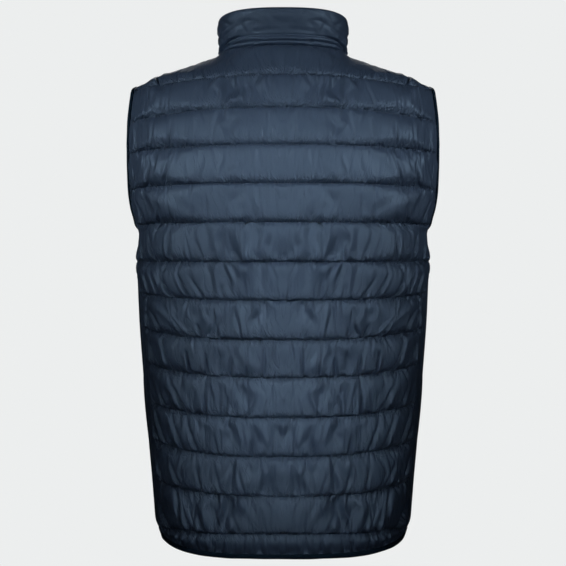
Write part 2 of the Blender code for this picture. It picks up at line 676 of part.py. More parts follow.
def main():
    clear_scene()
    vest = bpy.data.objects.new("vest", None)
    bpy.context.collection.objects.link(vest)
    shell = material("shell_cloth", SHELL_NAVY, 0.45)
    tape = material("edge_tape", BINDING_NAVY, 0.7)
    zip_cloth = material("zip_cloth", ZIP_NAVY, 0.6)
    metal = material("zip_metal", METAL_GREY, 0.35, 1.0)
    back = back_panel()
    front = left_front_panel()
    side = left_side_panel()
    share_side_seams(back, side, front)
    build_quilted("back", back, shell, vest)
    build_quilted("front_left", front, shell, vest)
    build_quilted("front_right", front.mirrored(), shell, vest)
    build_plain("side_left", side, shell, vest)
    build_plain("side_right", side.mirrored(), shell, vest)
    armhole_binding("armhole_binding_left", back, front, side, np.array([1.0, 1.0, 1.0]), tape, vest)
    armhole_binding("armhole_binding_right", back, front, side, np.array([-1.0, 1.0, 1.0]), tape, vest)
    hem_binding(back, front, side, tape, vest)
    collar = collar_form(back, front)
    build_collar(collar, shell, vest)
    build_zip(front, collar, zip_cloth, metal, vest)


main()
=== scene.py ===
import math
from types import SimpleNamespace

import bmesh
import bpy
import numpy as np
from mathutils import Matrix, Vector


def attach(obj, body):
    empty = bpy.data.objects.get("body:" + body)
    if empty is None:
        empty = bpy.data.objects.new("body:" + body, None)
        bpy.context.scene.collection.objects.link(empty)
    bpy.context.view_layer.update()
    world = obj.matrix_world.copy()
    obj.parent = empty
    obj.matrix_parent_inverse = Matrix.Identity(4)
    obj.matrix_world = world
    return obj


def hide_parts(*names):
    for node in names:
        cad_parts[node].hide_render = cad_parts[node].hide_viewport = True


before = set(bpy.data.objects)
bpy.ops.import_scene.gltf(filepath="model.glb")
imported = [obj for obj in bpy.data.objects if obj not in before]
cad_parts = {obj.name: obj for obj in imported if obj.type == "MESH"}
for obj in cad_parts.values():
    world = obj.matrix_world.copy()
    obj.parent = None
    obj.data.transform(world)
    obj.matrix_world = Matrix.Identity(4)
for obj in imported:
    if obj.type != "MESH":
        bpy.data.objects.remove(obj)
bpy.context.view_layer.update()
print("frame loaded with", len(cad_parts), "nodes")

# Form of the worn vest: sections from the hem up, a quilt line at each whole station
sectionColumns = ("station backZ backEdgeZ frontZ frontEdgeZ halfWidth backDepth frontDepth power"
                  " seamBack seamFront").split()
sectionRows = [
    (0.00, -0.6568, -0.6410, -0.6255, -0.6320, 0.1685, 0.128, 0.128, 3.05, 0.060, -0.060),
    (1.00, -0.6295, -0.6335, -0.6060, -0.6215, 0.1742, 0.128, 0.129, 2.70, 0.060, -0.060),
    (2.00, -0.5816, -0.5683, -0.5640, -0.5683, 0.1800, 0.127, 0.130, 2.60, 0.060, -0.060),
    (3.00, -0.5308, -0.5151, -0.5130, -0.5151, 0.1848, 0.126, 0.132, 2.60, 0.060, -0.060),
    (4.00, -0.4804, -0.4663, -0.4640, -0.4663, 0.1888, 0.126, 0.134, 2.60, 0.060, -0.060),
    (5.00, -0.4288, -0.4142, -0.4140, -0.4142, 0.1929, 0.127, 0.137, 2.60, 0.060, -0.060),
    (6.00, -0.3803, -0.3685, -0.3690, -0.3685, 0.1962, 0.130, 0.140, 2.60, 0.058, -0.058),
    (7.00, -0.3298, -0.3224, -0.3240, -0.3224, 0.1985, 0.134, 0.143, 2.50, 0.050, -0.052),
    (8.00, -0.2804, -0.2810, -0.2800, -0.2810, 0.1998, 0.138, 0.146, 2.50, 0.032, -0.036),
    (8.75, -0.2422, -0.2443, -0.2425, -0.2443, 0.1936, 0.1405, 0.147, 2.45, 0.000, 0.000),
    (9.00, -0.2295, -0.2320, -0.2310, -0.2320, 0.2020, 0.141, 0.147, 2.40, 0.000, 0.000),
    (10.0, -0.1796, -0.1851, -0.1850, -0.1851, 0.2199, 0.141, 0.145, 2.40, 0.000, 0.000),
    (11.0, -0.1300, -0.1378, -0.1390, -0.1378, 0.2264, 0.135, 0.138, 2.40, 0.000, 0.000),
    (12.0, -0.0806, -0.0967, -0.0960, -0.0985, 0.2371, 0.120, 0.123, 2.15, 0.000, 0.000),
]
sections = [SimpleNamespace(**dict(zip(sectionColumns, row))) for row in sectionRows]
yoke = SimpleNamespace(station=13.0, backZ=-0.0360, edgeZ=-0.0512, halfWidth=0.2300, depth=0.100, power=1.70)

# The front's sections beside the neck, each bowed forwards from the neck edge to the armhole
neckColumns = "station neckX neckY neckZ edgeX edgeZ bow".split()
neckRows = [
    (12.75, 0.0100, -0.0980, -0.0600, 0.2012, -0.0780, 0.026),
    (13.00, 0.0480, -0.0845, -0.0480, 0.2018, -0.0680, 0.018),
    (13.50, 0.0805, -0.0440, -0.0200, 0.2014, -0.0520, 0.007),
]
neckSections = [SimpleNamespace(**dict(zip(neckColumns, row))) for row in neckRows]

vestForm = {
    "armholeFoot": 8.75, "frontNeck": 12.75, "top": 14.0,     # stations
    "wall": 0.003, "plainWall": 0.0015, "seamLap": 0.00015, "frontEdgeX": 0.0100,
    "neckHalfWidth": 0.0855, "neckBackDepth": 0.070, "neckBackZ": 0.0066, "neckPower": 2.2,
    "neckSideZ": 0.0004, "tipX": 0.2000, "tipZ": -0.0418,
    "armholeMiddleZ": -0.1428, "armholeHalfHeight": 0.1055, "armholeBack": 0.0720, "armholeFront": 0.0830,
    "armholePower": 2.2, "curvePoints": 600, "rowsByLine": (0.0, 0.012, 0.030, 0.060), "closestRow": 0.004,
}
flip = np.array([-1.0, 1.0, 1.0])
bothSides = (("left", np.ones(3)), ("right", flip))
alongX = np.array([1.0, 0.0, 0.0])


def lengthsAlong(line):
    steps = np.linalg.norm(np.diff(line, axis=0), axis=1)
    return np.concatenate([[0.0], np.cumsum(steps)])


def rowsAt(wanted, known, rows):
    return np.stack([np.interp(wanted, known, column) for column in rows.T], axis=1)


def pointsAt(line, wanted):
    return rowsAt(wanted, lengthsAlong(line), line)


def evenPoints(line, count):
    return pointsAt(line, np.linspace(0.0, lengthsAlong(line)[-1], count + 1))


def planArc(halfWidth, depth, power, startX, endY):
    first = math.asin((startX / halfWidth) ** (power / 2))
    last = math.acos((endY / depth) ** (power / 2)) if endY > 0 else math.pi / 2
    angle = np.linspace(first, last, vestForm["curvePoints"])
    return halfWidth * np.sin(angle) ** (2 / power), depth * np.cos(angle) ** (2 / power)


def sloped(x, y, middleZ, edgeZ):
    share = (y[0] - y) / (y[0] - y[-1])     # heights change evenly with depth
    return np.stack([x, y, middleZ + share * (edgeZ - middleZ)], axis=1)


def armholeReach(z, reach):
    rise = min(abs(z - vestForm["armholeMiddleZ"]) / vestForm["armholeHalfHeight"], 1.0)
    return reach * (1 - rise ** vestForm["armholePower"]) ** (1 / vestForm["armholePower"])


def edgeDepths(section):
    if section.seamBack:
        return section.seamBack, -section.seamFront
    back = armholeReach(section.backEdgeZ, vestForm["armholeBack"])
    front = armholeReach(section.frontEdgeZ, vestForm["armholeFront"])
    return back, front


def rowsThrough(stations, keys, wanted):
    # rows on curves through the key rows that never overshoot them
    stations = np.asarray(stations)
    slopes = np.diff(keys, axis=0) / np.diff(stations)[:, None, None]
    before, after = slopes[:-1], slopes[1:]
    total = np.where(np.abs(before + after) < 1e-12, 1.0, before + after)
    inner = np.where(before * after > 0, 2 * before * after / total, 0.0)
    tangents = np.concatenate([slopes[:1], inner, slopes[-1:]])
    low = np.clip(np.searchsorted(stations, wanted, side="right") - 1, 0, len(stations) - 2)
    width = (stations[low + 1] - stations[low])[:, None, None]
    t = (np.asarray(wanted) - stations[low])[:, None, None] / width
    return ((1 + 2 * t) * (1 - t) ** 2 * keys[low] + t * (1 - t) ** 2 * width * tangents[low]
            + t * t * (3 - 2 * t) * keys[low + 1] + t * t * (t - 1) * width * tangents[low + 1])


def smoothStep(value, low, high):
    share = np.clip((value - low) / (high - low), 0.0, 1.0)
    return share * share * (3 - 2 * share)


def unitVectors(vectors):
    return vectors / np.maximum(np.linalg.norm(vectors, axis=-1, keepdims=True), 1e-12)


def gridNormals(grid, turn):
    return unitVectors(turn * np.cross(np.gradient(grid, axis=1), np.gradient(grid, axis=0)))


def stationRows(last, perChannel, hemRows):
    # rows crowd close to each quilt line and are even between
    near = np.array(vestForm["rowsByLine"])
    rows = []
    for channel in range(math.ceil(last)):
        count = hemRows if channel == 0 else perChannel
        between = np.linspace(near[-1], 1 - near[-1], count - 2 * len(near) + 3)
        rows.extend(channel + np.concatenate([near[:-1], between, 1 - near[-2:0:-1]]))
    return np.array([row for row in rows if row < last - vestForm["closestRow"]] + [last])


def shoulderSeam(count):
    share = np.linspace(0.0, 1.0, count + 1)[:, None]
    neckEnd = np.array([vestForm["neckHalfWidth"], 0.0, vestForm["neckSideZ"]])
    return neckEnd + share * (np.array([vestForm["tipX"], 0.0, vestForm["tipZ"]]) - neckEnd)


def shoulderNormal():
    slope = math.atan2(vestForm["neckSideZ"] - vestForm["tipZ"], vestForm["tipX"] - vestForm["neckHalfWidth"])
    return np.array([math.sin(slope), 0.0, math.cos(slope)])


def backNeckEdge(count):
    x, y = planArc(vestForm["neckHalfWidth"], vestForm["neckBackDepth"], vestForm["neckPower"], 0.0, 0.0)
    return evenPoints(sloped(x, y, vestForm["neckBackZ"], vestForm["neckSideZ"]), count)


def halfBackKeys(columns):
    keys = []
    for section in sections:
        x, y = planArc(section.halfWidth, section.backDepth, section.power, 0.0, edgeDepths(section)[0])
        keys.append(evenPoints(sloped(x, y, section.backZ, section.backEdgeZ), columns))
    yokeEdge = armholeReach(yoke.edgeZ, vestForm["armholeBack"])
    x, y = planArc(yoke.halfWidth, yoke.depth, yoke.power, 0.0, yokeEdge)
    keys.append(evenPoints(sloped(x, y, yoke.backZ, yoke.edgeZ), columns))
    neckShare = columns // 2
    keys.append(np.concatenate([backNeckEdge(neckShare), shoulderSeam(columns - neckShare)[1:]]))
    return [section.station for section in sections] + [yoke.station, vestForm["top"]], np.array(keys)


def bowedLine(section, count):
    share = np.linspace(0.0, 1.0, vestForm["curvePoints"])[:, None]
    start = np.array([section.neckX, section.neckY, section.neckZ])
    end = np.array([section.edgeX, -armholeReach(section.edgeZ, vestForm["armholeFront"]), section.edgeZ])
    forward = np.array([0.0, -section.bow, 0.0])
    return evenPoints(start + share * (end - start) + 4 * share * (1 - share) * forward, count)


def frontKeys(columns):
    keys = []
    for section in sections:
        x, y = planArc(section.halfWidth, section.frontDepth, section.power, vestForm["frontEdgeX"],
                       edgeDepths(section)[1])
        keys.append(evenPoints(sloped(x, -y, section.frontZ, section.frontEdgeZ), columns))
    keys.extend(bowedLine(section, columns) for section in neckSections)
    keys.append(shoulderSeam(columns))
    return [section.station for section in sections + neckSections] + [vestForm["top"]], np.array(keys)


def armholeFootZ(y):
    reach = np.where(y > 0, vestForm["armholeBack"], vestForm["armholeFront"])
    power = vestForm["armholePower"]
    drop = (1 - (np.abs(y) / reach) ** power) ** (1 / power)
    return vestForm["armholeMiddleZ"] - vestForm["armholeHalfHeight"] * drop


def sideKeys(columns):
    keys = []
    low = [section for section in sections if section.station <= vestForm["armholeFoot"]]
    for section in low:
        behind, before = edgeDepths(section)
        xBack, yBack = planArc(section.halfWidth, section.backDepth, section.power, 0.0, 0.0)
        xFront, yFront = planArc(section.halfWidth, section.frontDepth, section.power, 0.0, 0.0)
        y = np.linspace(behind, -before, vestForm["curvePoints"])
        x = np.where(y > 0, np.interp(-y, -yBack, xBack), np.interp(y, -yFront, xFront))
        z = np.interp(y, [-before, behind], [section.frontEdgeZ, section.backEdgeZ])
        if section.station == vestForm["armholeFoot"]:
            z = armholeFootZ(y)
        keys.append(evenPoints(np.stack([x, y, z], axis=1), columns))
    return [section.station for section in low], np.array(keys)


def lapOver(grid):
    # edges reach just past their seams, so that no light comes through
    lap = vestForm["seamLap"]
    lapped = grid.copy()
    lapped[:, 0] -= lap * unitVectors(grid[:, 1] - grid[:, 0])
    lapped[:, -1] -= lap * unitVectors(grid[:, -2] - grid[:, -1])
    lapped[0] -= lap * unitVectors(grid[1] - grid[0])
    lapped[-1] -= lap * unitVectors(grid[-2] - grid[-1])
    return lapped


def panelOf(rows, points, normals):
    across = np.stack([lengthsAlong(line) for line in points])
    up = np.stack([lengthsAlong(line) for line in points.swapaxes(0, 1)], axis=1)
    return SimpleNamespace(rows=rows, points=points, normals=normals, across=across, up=up)


def wholeBack(quilt):
    stations, keys = halfBackKeys(quilt["columns"])
    rows = stationRows(vestForm["top"], quilt["rowsPerChannel"], quilt["hemRows"])
    half = rowsThrough(stations, keys, rows)
    points = np.concatenate([half[:, :0:-1] * flip, half], axis=1)
    normals = gridNormals(points, -1.0)
    onSeam = np.abs(points[-1, :, 0]) >= vestForm["neckHalfWidth"] - 1e-9
    normals[-1, onSeam] = shoulderNormal() * np.where(points[-1, onSeam, :1] < 0, flip, 1.0)
    return panelOf(rows, lapOver(points), normals)


def leftFront(quilt):
    stations, keys = frontKeys(quilt["columns"])
    rows = stationRows(vestForm["top"], quilt["rowsPerChannel"], quilt["hemRows"])
    rows = np.union1d(rows, [vestForm["frontNeck"]])
    points = rowsThrough(stations, keys, rows)
    normals = gridNormals(points, 1.0)
    normals[-1] = shoulderNormal()
    return panelOf(rows, lapOver(points), normals)


def leftSide(cut):
    stations, keys = sideKeys(cut["columns"])
    rows = stationRows(vestForm["armholeFoot"], cut["rowsPerChannel"], cut["hemRows"])
    points = rowsThrough(stations, keys, rows)
    share = np.linspace(0.0, 1.0, cut["columns"] + 1)[None, :, None]
    for makeKeys, edge, weight in ((halfBackKeys, 0, 1 - share), (frontKeys, -1, share)):
        seamStations, seamKeys = makeKeys(cut["columns"])
        seam = rowsThrough(seamStations, seamKeys[:, -1:], rows)
        points = points + weight * (seam - points[:, [edge]])    # both seams lie on their neighbours' edges
    normals = gridNormals(points, -1.0)
    return panelOf(rows, lapOver(points), normals * np.sign(normals[..., :1]))


# How uneven the folds of every gathered piece are
uneven = {
    "waveJitter": 0.35, "fewestKnots": 4, "patchRange": (0.4, 1.6), "fewestPatches": 3, "lineFade": 0.008,
    "noiseHeight": 2.0,
    "wanderAcross": 0.012, "wanderUp": 0.011, "patchUp": 0.025, "patchLevel": 0.7, "patchLimits": (0.1, 1.4),
    "crumpleEnds": 0.12, "crumpleLevel": 0.4,
    "dentRange": (0.3, 1.4), "dentTaper": 0.7, "dentStart": 0.15, "ridgeOffset": 1.6, "beyondEdges": 0.01,
    "troughTaper": 0.7,
}


def quiltLines(panel):
    return np.flatnonzero(panel.rows == np.floor(panel.rows))


# Quilting: how far each point of a panel stands out between its lines
def channelRise(panel, quilt):
    part = panel.rows - np.floor(panel.rows)
    lines = quiltLines(panel)
    rise = np.zeros(panel.across.shape)
    for low, high in zip(lines, lines[1:]):
        height = panel.up[high] - panel.up[low]
        crown = np.minimum(quilt["puff"], quilt["hemPuffShare" if low == 0 else "puffShare"] * height)
        if panel.rows[low] >= vestForm["top"] - 1:
            crown = crown * quilt["topShare"]
        reach = np.abs(panel.points[low, :, 0]) / np.abs(panel.points[low, :, 0]).max()
        rounder = smoothStep(reach, *quilt["sideFrom"]) * (1 - smoothStep(reach, *quilt["sideTo"]))
        crown = crown * (1 + (quilt["sidePuff"] - 1) * rounder)
        sag, under, over = quilt["hemShape"] if low == 0 else quilt["shape"]
        under = under + (quilt["sideShape"][0] - under) * rounder
        over = over + (quilt["sideShape"][1] - over) * rounder
        across = 2 * part[low + 1:high, None] ** sag - 1
        rise[low + 1:high] = crown * (1 - np.abs(across) ** np.where(across < 0, under, over))
    toEdge = np.minimum(panel.across, panel.across[:, -1:] - panel.across)
    share = np.clip(toEdge / quilt["edgeFade"], 0.0, 1.0)
    return rise * np.sin(share * math.pi / 2) ** quilt["edgeFullness"]


def wave(count, spacing, rng):
    knots = max(uneven["fewestKnots"], int(count / spacing))
    jitter = uneven["waveJitter"]
    at = np.linspace(0, count - 1, knots) + rng.uniform(-jitter, jitter, knots) * spacing
    return np.interp(np.arange(count), at, rng.normal(size=knots))


def patches(panel, quilt, rng):
    # gathered and smooth stretches along each channel
    channels = math.ceil(panel.rows[-1]) + 1
    count = max(uneven["fewestPatches"], round(panel.across.max() / quilt["patchLength"]))
    values = rng.uniform(*uneven["patchRange"], (channels, count))
    values /= values.mean(axis=1, keepdims=True)     # all lines take up the same cloth
    column = np.clip(panel.across / panel.across.max(), 0, 1) * (count - 1)
    left = np.minimum(column.astype(int), count - 2)
    low = np.minimum(np.floor(panel.rows).astype(int), channels - 2)[:, None]
    sideways = column - left
    upwards = np.clip((panel.rows - np.floor(panel.rows))[:, None], 0, 1)
    bottom = values[low, left] * (1 - sideways) + values[low, left + 1] * sideways
    top = values[low + 1, left] * (1 - sideways) + values[low + 1, left + 1] * sideways
    return bottom * (1 - upwards) + top * upwards


def cutShape(panel, sewn, quilt, anchor, rng):
    # the cloth before it is gathered onto its lines: wider, longer, and slanted
    along = unitVectors(np.gradient(panel.points, axis=1))
    steps = np.diff(panel.across, axis=1, prepend=0.0)
    spread = np.cumsum(quilt["gather"] * patches(panel, quilt, rng) * steps, axis=1)
    spread -= spread[:, [anchor]]
    distance = panel.across - panel.across[:, [anchor]]
    reach = np.abs(distance) / np.abs(distance).max()
    lean = np.interp(panel.points[..., 2], quilt["slantHeights"], quilt["slants"])
    climb = np.cumsum(lean * np.diff(panel.up, axis=0, prepend=0.0), axis=0)
    climb -= climb[[len(climb) // 2]]
    slant = -climb * np.interp(reach, quilt["slantReach"], quilt["slantShares"]) * np.sign(distance)
    start = sewn + (spread + slant)[..., None] * along
    start[..., 2] += quilt["slack"] * (sewn[..., 2] - sewn[..., 2].mean())
    return start


def settleCloth(start, sewn, pinned, cloth):
    # the cut cloth is drawn onto its sewn lines under a little pressure, and the folds form by themselves
    rows, columns = start.shape[:2]
    bm = bmesh.new()
    bmesh.ops.create_grid(bm, x_segments=columns - 1, y_segments=rows - 1, size=1.0)
    mesh = bpy.data.meshes.new("settling")
    bm.to_mesh(mesh)
    bm.free()
    mesh.vertices.foreach_set("co", start.astype(np.float32).ravel())
    trial = bpy.data.objects.new("settling", mesh)
    bpy.context.collection.objects.link(trial)
    trial.shape_key_add(name="cut")
    gathered = trial.shape_key_add(name="gathered")
    gathered.data.foreach_set("co", sewn.astype(np.float32).ravel())
    for value, at in ((0.0, 1), (1.0, 1 + cloth["gatherFrames"])):
        gathered.value = value
        gathered.keyframe_insert("value", frame=at)
    trial.vertex_groups.new(name="pins").add(np.flatnonzero(pinned).tolist(), 1.0, "ADD")
    modifier = trial.modifiers.new("Cloth", "CLOTH")
    settings = modifier.settings
    for name in ("quality", "mass", "tension_stiffness", "compression_stiffness", "shear_stiffness",
                 "bending_stiffness", "air_damping", "uniform_pressure_force"):
        setattr(settings, name, cloth[name])
    settings.use_pressure = True
    settings.vertex_group_mass = "pins"
    settings.effector_weights.gravity = cloth["gravity"]
    modifier.collision_settings.use_collision = False
    modifier.collision_settings.use_self_collision = False
    modifier.point_cache.frame_start = 1
    modifier.point_cache.frame_end = cloth["frames"]
    scene = bpy.context.scene
    for step in range(1, cloth["frames"] + 1):
        scene.frame_set(step)
    evaluated = trial.evaluated_get(bpy.context.evaluated_depsgraph_get())
    settled = np.zeros(start.size, np.float32)
    evaluated.data.vertices.foreach_get("co", settled)
    scene.frame_set(1)
    action = mesh.shape_keys.animation_data.action
    bpy.data.objects.remove(trial)
    bpy.data.meshes.remove(mesh)
    bpy.data.actions.remove(action)
    return settled.reshape(start.shape).astype(float)


def blurAcross(values, width):
    reach = int(3 * width)     # a bell curve is flat beyond three widths
    kernel = np.exp(-0.5 * (np.arange(-reach, reach + 1) / width) ** 2)
    kernel /= kernel.sum()
    padded = np.pad(values, ((0, 0), (reach, reach)), mode="reflect")
    return np.apply_along_axis(np.convolve, 1, padded, kernel, mode="valid")


def softNoise(across, up, rng):
    # smooth uneven heights, about one hump for each unit across and up
    left, low = np.floor(across).astype(int), np.floor(up).astype(int)
    left, low = left - left.min(), low - low.min()
    knots = rng.normal(size=(low.max() + 4, left.max() + 4))
    weights = []
    for part in (across - np.floor(across), up - np.floor(up)):
        weights.append([(1 - part) ** 3 / 6, (3 * part ** 3 - 6 * part ** 2 + 4) / 6,
                        (-3 * part ** 3 + 3 * part ** 2 + 3 * part + 1) / 6, part ** 3 / 6])
    total = sum(weights[0][i] * weights[1][j] * knots[low + j, left + i] for i in range(4) for j in range(4))
    return uneven["noiseHeight"] * total


def leanAt(panel, line, anchor, quilt):
    # how much the folds over a quilt line lean outwards, from 0 to 1
    height = panel.points[line, anchor, 2]
    return np.interp(height, quilt["slantHeights"], quilt["slants"]) / max(quilt["slants"])


def crumples(panel, quilt, anchor, rng):
    # sharp ridges and creases that wander up and down each channel, with flat cloth between them
    place = panel.across - panel.across[:, [anchor]]
    aside = np.interp(np.abs(place) / place.max(), quilt["slantReach"], quilt["slantShares"])
    rise = np.zeros(place.shape)
    lines = quiltLines(panel)
    for low, high in zip(lines, lines[1:]):
        channel = slice(low, high + 1)
        spot, away = place[channel], panel.up[channel] - panel.up[low]
        slant = quilt["crumpleSlant"] * leanAt(panel, low, anchor, quilt) * aside[channel]
        straight = spot - slant * np.sign(spot) * away
        wander = softNoise(spot / uneven["wanderAcross"], away / uneven["wanderUp"], rng)
        wandering = straight + quilt["crumpleWander"] * wander
        patch = softNoise(spot / quilt["patchLength"], away / uneven["patchUp"], rng)
        patch = np.clip(uneven["patchLevel"] * (1 + patch), *uneven["patchLimits"])
        patch *= 1 - quilt["crumpleAside"] * aside[channel]
        part = (panel.rows[channel] - panel.rows[low])[:, None]
        ends = smoothStep(np.minimum(part, 1 - part), 0.0, uneven["crumpleEnds"])
        for size, depth, turn in quilt["crumples"]:
            noise = softNoise(wandering / size, away / (size * quilt["crumpleStretch"]), rng)
            rise[channel] += turn * depth * patch * ends * (np.abs(noise) - uneven["crumpleLevel"])
    return rise


def lineDents(panel, quilt, anchor, rng):
    # V-shaped creases and short wrinkles that run off the quilt lines
    place = panel.across - panel.across[:, [anchor]]
    first, last = place.min() - uneven["beyondEdges"], place.max() + uneven["beyondEdges"]
    rise = np.zeros(place.shape)
    lines = quiltLines(panel)
    for low, high in zip(lines, lines[1:]):
        spot = place[low:high + 1]
        lean = leanAt(panel, low, anchor, quilt)
        for kind in quilt["dents"]:
            shallower = quilt["dentsAbove"] + (1 - quilt["dentsAbove"]) * lean
            away = np.abs(panel.up[low:high + 1] - panel.up[high if kind["above"] else low])
            start = first
            while start < last:
                start += rng.uniform(*kind["spacings"])
                aside = np.interp(abs(start) / place.max(), quilt["slantReach"], quilt["slantShares"])
                run = away / rng.uniform(*kind["lengths"])
                turn = kind["outward"] * lean * aside * np.sign(start) + rng.normal(0.0, kind["turns"])
                off = (spot - start - turn * away) / rng.uniform(*kind["widths"])
                deep = kind["depth"] * rng.uniform(*uneven["dentRange"]) * shallower
                deep *= kind["middle"] + (1 - kind["middle"]) * aside
                taper = np.clip(1 - run, 0.0, 1.0) ** uneven["dentTaper"]
                taper = taper * smoothStep(run, 0.0, uneven["dentStart"])
                ridge = kind["ridge"] * np.exp(-(off - uneven["ridgeOffset"] * np.sign(start)) ** 2)
                rise[low:high + 1] += deep * taper * (ridge - np.clip(1 - np.abs(off), 0.0, 1.0))
    return rise


def foldedSurface(panel, rise, pinned, quilt, cloth, anchor):
    # the sewn form with the folds of the settled cloth on it
    rng = np.random.default_rng(quilt["seed"])
    outer = panel.points + rise[..., None] * panel.normals
    upward = unitVectors(np.gradient(panel.points, axis=0))
    columns = panel.across.shape[1]
    toEdge = panel.across[:, -1:] - panel.across
    puckers = lineDents(panel, quilt, anchor, rng)
    puckers += crumples(panel, quilt, anchor, rng)
    puckers[panel.rows >= vestForm["top"] - 1] *= quilt["topFolds"]
    puckers *= smoothStep(toEdge, 0.0, quilt["puckerFade"])
    puckers = np.maximum(puckers, -rise - quilt["deepest"])
    for line in quiltLines(panel)[1:-1]:
        fade = np.clip(toEdge[line] / uneven["lineFade"], 0.0, 1.0)
        for reach, direction in ((quilt["lineOut"], panel.normals), (quilt["lineUp"], upward)):
            moved = reach * fade * wave(columns, quilt["lineSpacing"], rng)
            outer[line] += moved[:, None] * direction[line]
    start = cutShape(panel, outer, quilt, anchor, rng)
    settled = settleCloth(start, outer, pinned, cloth)
    moved = settled - outer
    out = (moved * panel.normals).sum(axis=2)
    swelling = blurAcross(out, quilt["swellWidth"])
    folds = np.clip(quilt["foldGain"] * (out - swelling), -quilt["foldCap"], quilt["foldCap"])
    sideways = moved - out[..., None] * panel.normals
    print("  rise %.1f mm, folds %.2f mm" % (1000 * (rise.max() + swelling.mean()), 1000 * folds.std()))
    return outer + (folds + puckers)[..., None] * panel.normals + sideways


def mirrorHalves(half, overlap):
    # half starts overlap columns beyond the middle, where it is evened out with its mirror image
    kept = half[:, overlap:].copy()
    image = half[:, overlap::-1] * flip
    share = (1 + np.cos(np.pi * np.arange(overlap + 1) / overlap))[None, :, None] / 4
    kept[:, :overlap + 1] = (1 - share) * kept[:, :overlap + 1] + share * image
    return np.concatenate([kept[:, :0:-1] * flip, kept], axis=1)


# Meshes
def keepEvery(count, every):
    return np.unique(np.append(np.arange(0, count, every), count - 1))


def linkObject(name, mesh, finishes):
    for finish in finishes:
        mesh.materials.append(finish)
    mesh.shade_smooth()
    made = bpy.data.objects.new(name, mesh)
    bpy.context.collection.objects.link(made)
    return made


def finishObject(name, bm, uvs, finishes, finishOf=None):
    mesh = bpy.data.meshes.new(name)
    bm.to_mesh(mesh)
    bm.free()
    made = linkObject(name, mesh, finishes)
    if finishOf is not None:
        mesh.polygons.foreach_set("material_index", finishOf)
    if uvs is not None:
        corners = np.zeros(len(mesh.loops), np.int32)
        mesh.loops.foreach_get("vertex_index", corners)
        layer = mesh.uv_layers.new(name="cut")
        layer.data.foreach_set("uv", np.asarray(uvs, np.float32)[corners].ravel())
    return made


def wallObject(name, panel, outer, inside, every, finishes):
    # dense outside, plain inside and a rim between them
    rows, columns = outer.shape[:2]
    keptRows, keptColumns = keepEvery(rows, every), keepEvery(columns, every)
    inner = inside[np.ix_(keptRows, keptColumns)]
    bm = bmesh.new()
    for grid in (outer, inner):
        bmesh.ops.create_grid(bm, x_segments=grid.shape[1] - 1, y_segments=grid.shape[0] - 1, size=1.0)
    bm.verts.ensure_lookup_table()
    verts = bm.verts[:]
    for vert, point in zip(verts, np.concatenate([outer.reshape(-1, 3), inner.reshape(-1, 3)])):
        vert.co = point
    outerNumbers = np.arange(rows * columns).reshape(rows, columns)
    innerNumbers = rows * columns + np.arange(inner.shape[0] * inner.shape[1]).reshape(inner.shape[:2])
    wallFaces = len(bm.faces)
    edges = [(outerNumbers[end], innerNumbers[end], keptColumns) for end in (0, -1)]
    edges += [(outerNumbers[:, end], innerNumbers[:, end], keptRows) for end in (0, -1)]
    for outerRun, innerRun, kept in edges:
        for step, (low, high) in enumerate(zip(kept, kept[1:])):
            corners = [*outerRun[low:high + 1], innerRun[step + 1], innerRun[step]]
            bm.faces.new([verts[corner] for corner in corners])
    bmesh.ops.recalc_face_normals(bm, faces=bm.faces[:])
    finishOf = np.zeros(len(bm.faces), np.int32)
    finishOf[(rows - 1) * (columns - 1):wallFaces] = len(finishes) - 1
    flat = np.stack([panel.across - panel.across.mean(), panel.up], axis=2)
    uvs = np.concatenate([flat.reshape(-1, 2), flat[np.ix_(keptRows, keptColumns)].reshape(-1, 2)])
    return finishObject(name, bm, uvs, finishes, finishOf)


def sheetObject(name, points, outward, uvs, thickness, closed, finishes):
    # a thin shell on a grid of points, its outer side on the points
    rows, columns = points.shape[:2]
    bm = bmesh.new()
    bmesh.ops.create_grid(bm, x_segments=columns - 1, y_segments=rows - 1, size=1.0)
    for vert, point in zip(bm.verts, points.reshape(-1, 3)):
        vert.co = point
    layer = bm.loops.layers.uv.new("cut")
    flat = np.asarray(uvs).reshape(-1, 2)
    bm.verts.index_update()
    for face in bm.faces:
        for loop in face.loops:
            loop[layer].uv = flat[loop.vert.index]
    if closed:
        bmesh.ops.remove_doubles(bm, verts=bm.verts[:], dist=1e-6)
    bm.normal_update()
    facing = (gridNormals(points, 1.0) * outward).sum()
    bmesh.ops.solidify(bm, geom=bm.faces[:], thickness=math.copysign(thickness, facing))
    bmesh.ops.recalc_face_normals(bm, faces=bm.faces[:])
    return finishObject(name, bm, None, finishes)


def joinCopies(name, template, places, finishes):
    # places: (middle, along, out) for each copy of a small bmesh
    template.verts.index_update()
    shape = np.array([vert.co for vert in template.verts])
    faces = [[vert.index for vert in face.verts] for face in template.faces]
    template.free()
    middles, alongs, outs = (np.array(column) for column in zip(*places))
    sides = unitVectors(np.cross(outs, alongs))
    outs = np.cross(alongs, sides)
    points = (middles[:, None] + shape[None, :, :1] * alongs[:, None] + shape[None, :, 1:2] * sides[:, None]
              + shape[None, :, 2:] * outs[:, None])
    mesh = bpy.data.meshes.new(name)
    every = [[corner + copy * len(shape) for corner in face] for copy in range(len(places)) for face in faces]
    mesh.from_pydata(points.reshape(-1, 3).tolist(), [], every)
    return linkObject(name, mesh, finishes)


# Finishes
def newFinish(name):
    finish = bpy.data.materials.new(name)
    finish.use_nodes = True
    return finish, finish.node_tree, finish.node_tree.nodes["Principled BSDF"]


def addNode(tree, kind, inputs=(), **settings):
    node = tree.nodes.new(kind)
    for name, value in settings.items():
        setattr(node, name, value)
    for name, value in dict(inputs).items():
        if isinstance(value, bpy.types.NodeSocket):
            tree.links.new(value, node.inputs[name])
        else:
            node.inputs[name].default_value = value
    return node


